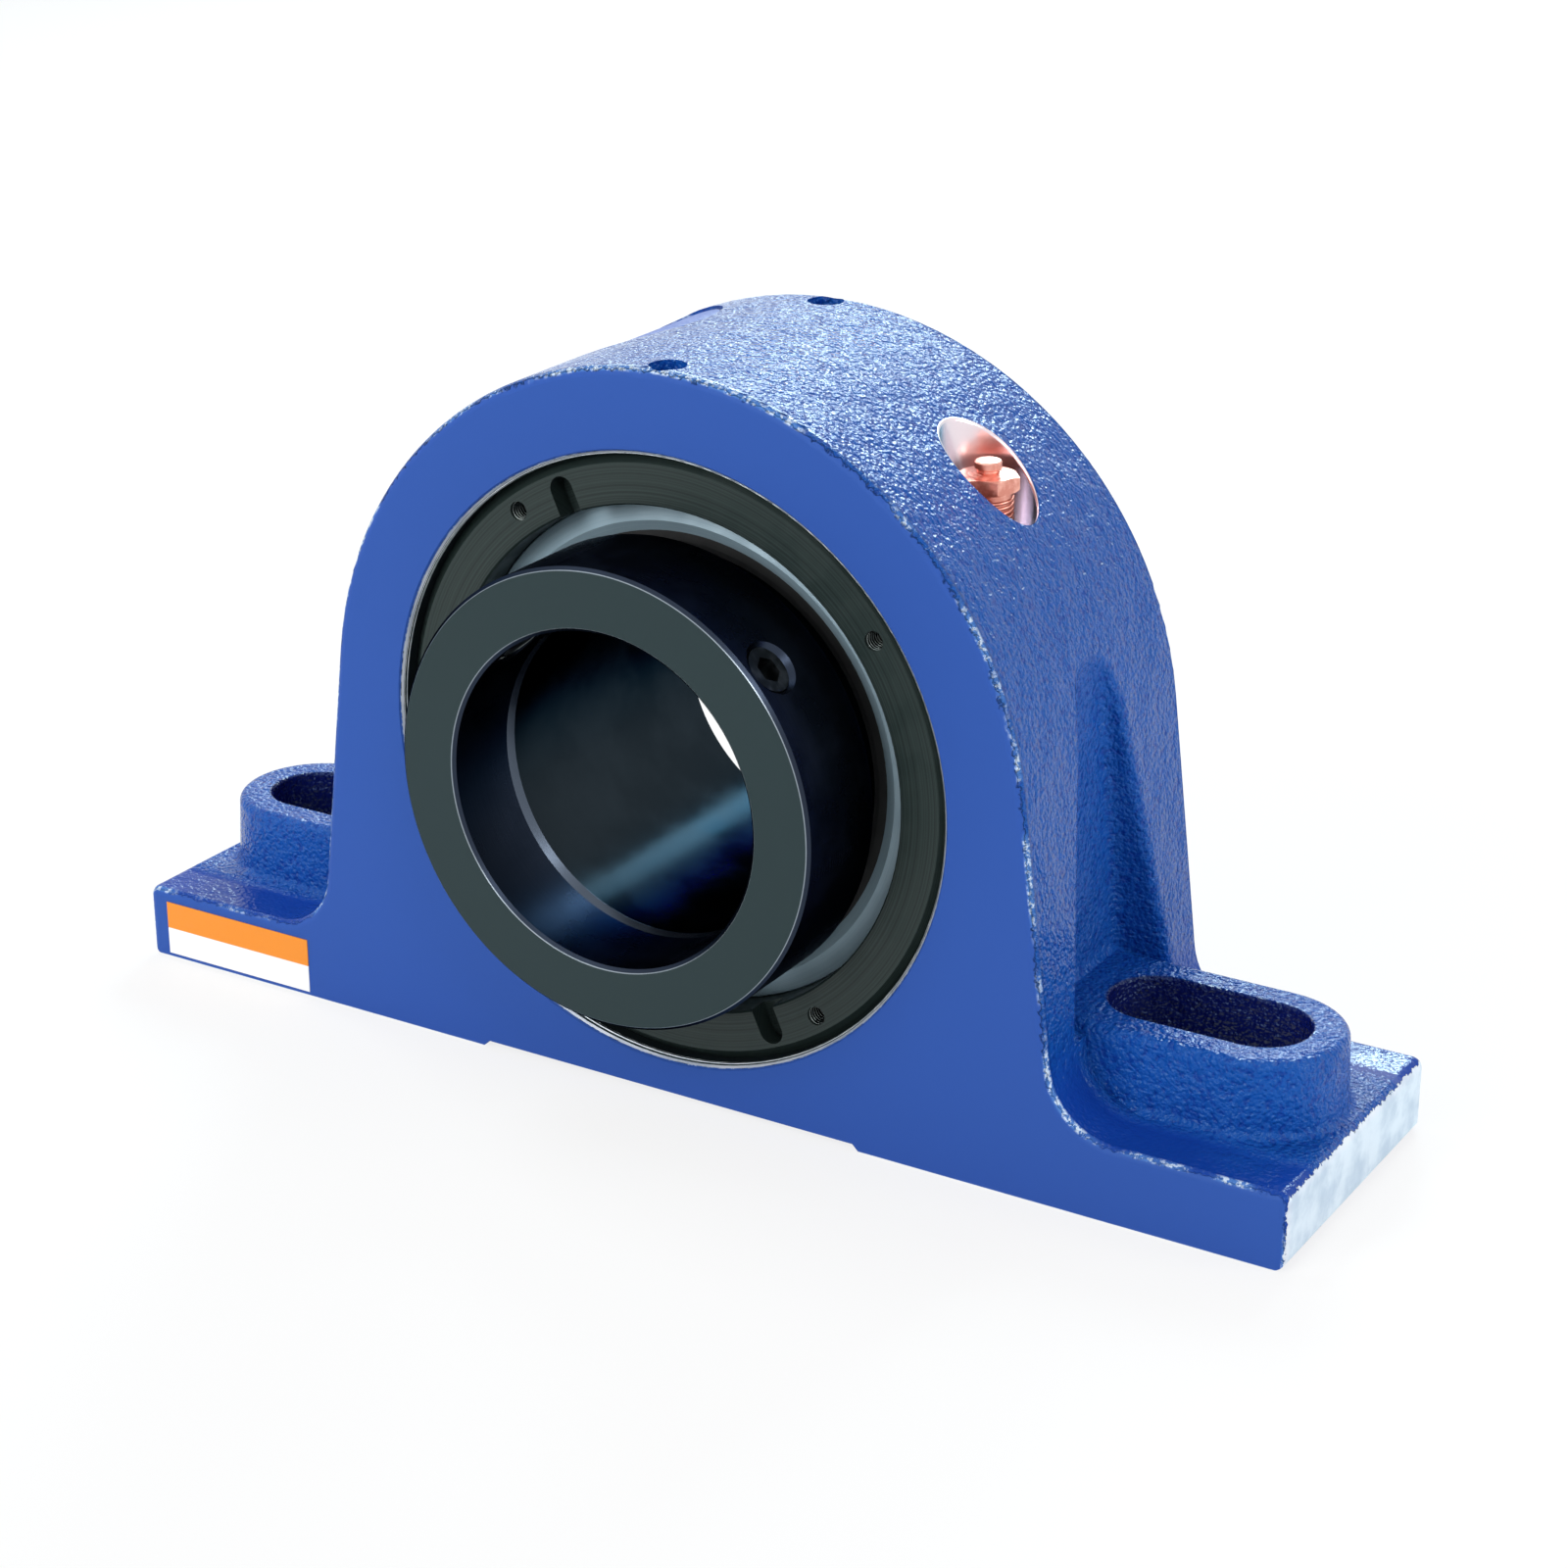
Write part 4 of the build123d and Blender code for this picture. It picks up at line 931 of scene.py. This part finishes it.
@dataclass(frozen=True)
class Thread:
    """Helical ridge on the wall of a tapped hole or around a screw."""

    foot: Vector
    along: Vector
    root: float
    crest: float
    pitch: float
    length: float
    steps: int = 28
    flank: float = 0.42
    run_out: float = 0.5

    def add_to(self, mesh: bmesh.types.BMesh) -> None:
        """Adds the ridge to a mesh as a closed three-sided ribbon that runs out at both ends.

        Args:
            mesh: The mesh that it goes into.
        """
        side = self.along.orthogonal().normalized()
        other = self.along.cross(side)
        count = round(self.length / self.pitch * self.steps)
        rings = []
        for number in range(count + 1):
            turn = math.tau * number / self.steps
            out = side * math.cos(turn) + other * math.sin(turn)
            centre = self.foot + self.along * (self.pitch * number / self.steps)
            from_end = min(number, count - number) + 1
            share = min(1.0, from_end / (self.steps * self.run_out))
            crest = self.root + (self.crest - self.root) * share
            half = self.along * (self.flank * self.pitch * share)
            foot = centre + out * self.root
            corners = (foot - half, centre + out * crest, foot + half)
            rings.append([mesh.verts.new(corner) for corner in corners])
        for first, second in zip(rings, rings[1:]):
            for corner in range(len(first)):
                after = (corner + 1) % len(first)
                mesh.faces.new((first[corner], first[after], second[after], second[corner]))
        mesh.faces.new(rings[0])
        mesh.faces.new(rings[-1])


@dataclass
class HousingBlock:
    """The cast housing with its label."""

    def build(self) -> None:
        """Dresses the casting and the label."""
        BLUE_ENAMEL.dress("housing")
        LABEL_FILM.dress("label")
        log.info("housing and label dressed")


@dataclass
class Covers:
    """Threaded covers with their tapped holes, gaskets and locking screws."""

    hole_circle: float = 76.0 * MM
    hole_radius: float = 2.6 * MM
    hole_inset: float = 0.5 * MM
    hole_reach: float = 8.5 * MM
    hole_angle: float = 36.4
    hole_count: int = 4
    face: float = 41.1 * MM
    pitch: float = 1.0 * MM
    sink: float = 0.02 * MM
    height: float = 0.45 * MM
    bore_radius: float = 83.4 * MM
    bore_gap: float = 0.35 * MM
    bore_pitch: float = 0.95 * MM
    bore_reach: float = 1.9 * MM
    bore_steps: int = 180

    def bore_thread(self, side: Side) -> None:
        """Adds the turns of the housing's bore thread that show ahead of a cover.

        Args:
            side: Which cover.
        """
        mesh = bmesh.new()
        foot = Vector((0, side.value * (self.face + self.bore_gap), SHAFT_HEIGHT))
        root = self.bore_radius + self.sink
        crest = root - self.height
        outwards = Vector((0, side.value, 0))
        Thread(foot, outwards, root, crest, self.bore_pitch, self.bore_reach, self.bore_steps).add_to(mesh)
        new_piece(f"{side.name.lower()}_bore_thread", mesh, BORE_METAL, Body.HOUSING)

    def hole_threads(self, side: Side) -> None:
        """Adds the threads of one cover's tapped holes.

        Args:
            side: Which cover.
        """
        mesh = bmesh.new()
        root = self.hole_radius + self.sink
        inwards = Vector((0, -side.value, 0))
        for number in range(self.hole_count):
            angle = math.radians(self.hole_angle) + math.tau * number / self.hole_count
            foot = Vector((self.hole_circle * math.cos(angle), side.value * (self.face - self.hole_inset),
                           SHAFT_HEIGHT + self.hole_circle * math.sin(angle)))
            Thread(foot, inwards, root, root - self.height, self.pitch, self.hole_reach).add_to(mesh)
        new_piece(f"{side.name.lower()}_cover_threads", mesh, THREAD_STEEL, Body.HOUSING)

    def build(self) -> None:
        """Dresses the covers and adds their threads."""
        COVER_STEEL.dress("front_cover", "rear_cover")
        SEAL_RUBBER.dress("front_cover_gasket", "rear_cover_gasket")
        BLUE_ENAMEL.dress("cover_lock_screws")
        for side in Side:
            self.bore_thread(side)
            self.hole_threads(side)


@dataclass
class Seals:
    """Seal carriers that tilt in the covers, with their lip seals."""

    def build(self) -> None:
        """Dresses carriers and lips."""
        SEAL_PLATE.dress("front_seal_carrier", "rear_seal_carrier")
        SEAL_RUBBER.dress("front_lip_seal", "rear_lip_seal")
        log.info("seals dressed")


@dataclass
class RollerInsert:
    """Rings, cages and rollers of the insert."""

    def build(self) -> None:
        """Dresses the insert's pieces."""
        BEARING_STEEL.dress("outer_ring", "guide_ring")
        RING_STEEL.dress("inner_ring")
        CAGE_STEEL.dress("front_cage", "rear_cage")
        ROLLING_STEEL.dress("front_rollers", "rear_rollers")
        log.info("insert dressed")


@dataclass
class LockingCollar:
    """Locking collar with two set screws in tapped holes."""

    screw_y: float = -63.0 * MM
    screw_angles: tuple[float, float] = (43.0, 133.0)
    hole_radius: float = 6.35 * MM
    thread_start: float = 45.4 * MM
    thread_length: float = 2.4 * MM
    pitch: float = 1.25 * MM
    sink: float = 0.02 * MM
    height: float = 0.7 * MM
    steps: int = 40

    def build(self) -> None:
        """Dresses collar and screws, and adds the threads that show inside the bore."""
        BLACK_OXIDE.dress("locking_collar")
        SCREW_STEEL.dress("collar_set_screws")
        mesh = bmesh.new()
        for degrees in self.screw_angles:
            angle = math.radians(degrees)
            outwards = Vector((math.cos(angle), 0, math.sin(angle)))
            foot = Vector((0, self.screw_y, SHAFT_HEIGHT)) + outwards * self.thread_start
            root = self.hole_radius + self.sink
            crest = root - self.height
            Thread(foot, outwards, root, crest, self.pitch, self.thread_length, self.steps).add_to(mesh)
        new_piece("collar_threads", mesh, THREAD_STEEL, Body.SHAFT_RING)


@dataclass
class GreaseFitting:
    """Button-head fitting in the pocket of the right shoulder."""

    place: Vector = field(default_factory=lambda: Vector((68.6 * MM, 3.0 * MM, 158.6 * MM)))
    neck_radius: float = 6.4 * MM
    pitch: float = 1.41 * MM
    thread_length: float = 9.6 * MM
    sink: float = 0.03 * MM
    height: float = 0.5 * MM
    steps: int = 40

    def build(self) -> None:
        """Dresses the fitting and adds its thread."""
        COPPER_PLATE.dress("grease_fitting")
        mesh = bmesh.new()
        root = self.neck_radius - self.sink
        crest = root + self.height
        up = Vector((0, 0, 1))
        Thread(self.place, up, root, crest, self.pitch, self.thread_length, self.steps).add_to(mesh)
        new_piece("fitting_thread", mesh, COPPER_PLATE, Body.HOUSING)


@dataclass
class PhotoCamera:
    """Camera at the photograph's place and angle."""

    place: Vector = field(default_factory=lambda: Vector((0.4497, -0.7222, 0.4194)))
    azimuth: float = 31.3131
    elevation: float = 22.0142
    lens: float = 77.7
    sensor: float = 36.0
    near: float = 0.01

    def build(self) -> None:
        """Adds the camera and makes it the scene's."""
        data = bpy.data.cameras.new("photo_camera")
        data.lens = self.lens
        data.sensor_width = self.sensor
        data.clip_start = self.near
        camera = bpy.data.objects.new("photo_camera", data)
        camera.location = self.place
        azimuth, elevation = math.radians(self.azimuth), math.radians(self.elevation)
        back = Vector((math.sin(azimuth) * math.cos(elevation), -math.cos(azimuth) * math.cos(elevation),
                       math.sin(elevation)))
        camera.rotation_euler = back.to_track_quat("Z", "Y").to_euler()
        bpy.context.scene.collection.objects.link(camera)
        bpy.context.scene.camera = camera


@dataclass(frozen=True)
class Softbox:
    """A square area lamp that looks at the block."""

    name: str
    place: Vector
    size: float
    power: float
    colour: Colour = (1.0, 1.0, 1.0)

    def build(self) -> None:
        """Adds the lamp."""
        data = bpy.data.lights.new(self.name, "AREA")
        data.size = self.size
        data.energy = self.power
        data.color = self.colour
        lamp = bpy.data.objects.new(self.name, data)
        lamp.location = self.place
        lamp.rotation_euler = (self.place - LOOK_AT).to_track_quat("Z", "Y").to_euler()
        bpy.context.scene.collection.objects.link(lamp)


@dataclass
class Studio:
    """White floor and surroundings with softboxes."""

    floor_size: float = 8.0
    floor_drop: float = 0.4 * MM
    floor_share: float = 0.8
    floor_cells: int = 8
    paper: Colour = (0.9, 0.9, 0.9)
    white: Colour = (1.0, 1.0, 1.0)
    ambient: float = 0.3
    softboxes: tuple[Softbox, ...] = (
        Softbox("front_softbox", Vector((-0.5, -1.6, 0.9)), 1.2, 20.0),
        Softbox("back_softbox", Vector((0.0, 1.7, 1.25)), 0.36, 8.0, (0.76, 0.96, 1.0)),
        Softbox("low_softbox", Vector((-0.55, 1.66, 0.95)), 0.55, 20.0, (0.76, 0.96, 1.0)),
        Softbox("left_softbox", Vector((-1.1, 1.6, 0.72)), 0.5, 5.0, (0.76, 0.96, 1.0)),
        Softbox("top_softbox", Vector((-0.8, 0.15, 1.5)), 0.5, 8.0, (0.9, 0.98, 1.0)),
        Softbox("right_softbox", Vector((0.95, -1.0, 1.15)), 0.4, 4.0),
        Softbox("side_softbox", Vector((1.7, 0.3, 0.7)), 0.9, 12.0),
    )

    def seen(self, graph: Graph) -> Socket:
        """Whether a ray comes from the camera, a reflection or a refraction.

        Args:
            graph: The graph that asks.

        Returns:
            1 for such a ray, else 0.
        """
        path = graph.add("ShaderNodeLightPath").outputs
        mirrored = graph.math("MAXIMUM", path["Is Glossy Ray"], path["Is Transmission Ray"])
        return graph.math("MAXIMUM", path["Is Camera Ray"], mirrored)

    def surroundings(self) -> None:
        """White world as seen, dimmer as a light."""
        world = bpy.data.worlds.new("studio")
        bpy.context.scene.world = world
        world.use_nodes = True
        graph = Graph(world.node_tree)
        dim = graph.add("ShaderNodeBackground", {"Color": self.white, "Strength": self.ambient})
        white = graph.add("ShaderNodeBackground", {"Color": self.white, "Strength": 1.0})
        sockets = {0: self.seen(graph), 1: dim.outputs[0], 2: white.outputs[0]}
        both = graph.add("ShaderNodeMixShader", sockets)
        graph.add("ShaderNodeOutputWorld", {"Surface": both.outputs[0]})

    def floor(self) -> None:
        """White floor that keeps a soft shadow and isn't there from below."""
        mesh = bmesh.new()
        cells = self.floor_cells
        bmesh.ops.create_grid(mesh, x_segments=cells, y_segments=cells, size=self.floor_size / 2)
        data = bpy.data.meshes.new("floor")
        mesh.to_mesh(data)
        mesh.free()
        floor = bpy.data.objects.new("floor", data)
        floor.location.z = -self.floor_drop
        bpy.context.scene.collection.objects.link(floor)
        material = bpy.data.materials.new("floor_paper")
        material.use_nodes = True
        graph = Graph(material.node_tree)
        paper = graph.add("ShaderNodeBsdfDiffuse", {"Color": self.paper})
        white = graph.add("ShaderNodeEmission", {"Color": self.white, "Strength": 1.0})
        share = graph.times(self.seen(graph), self.floor_share)
        lit = graph.add("ShaderNodeMixShader", {0: share, 1: paper.outputs[0], 2: white.outputs[0]})
        below = graph.add("ShaderNodeNewGeometry").outputs["Backfacing"]
        gone = graph.add("ShaderNodeBsdfTransparent")
        both = graph.add("ShaderNodeMixShader", {0: below, 1: lit.outputs[0], 2: gone.outputs[0]})
        graph.add("ShaderNodeOutputMaterial", {"Surface": both.outputs[0]})
        paint(floor, material)

    def build(self) -> None:
        """Adds surroundings, floor and lamps."""
        bpy.context.scene.view_settings.view_transform = "Standard"
        self.surroundings()
        self.floor()
        for softbox in self.softboxes:
            softbox.build()


def main() -> None:
    """Builds the scene, one sub-assembly after another."""
    logging.basicConfig(level=logging.INFO, format="%(name)s: %(message)s")
    for part in (PhotoCamera(), Studio(), HousingBlock(), Covers(), Seals(), RollerInsert(), LockingCollar(),
                 GreaseFitting()):
        part.build()
        log.info("built %s", type(part).__name__)


if __name__ == "__main__":
    main()
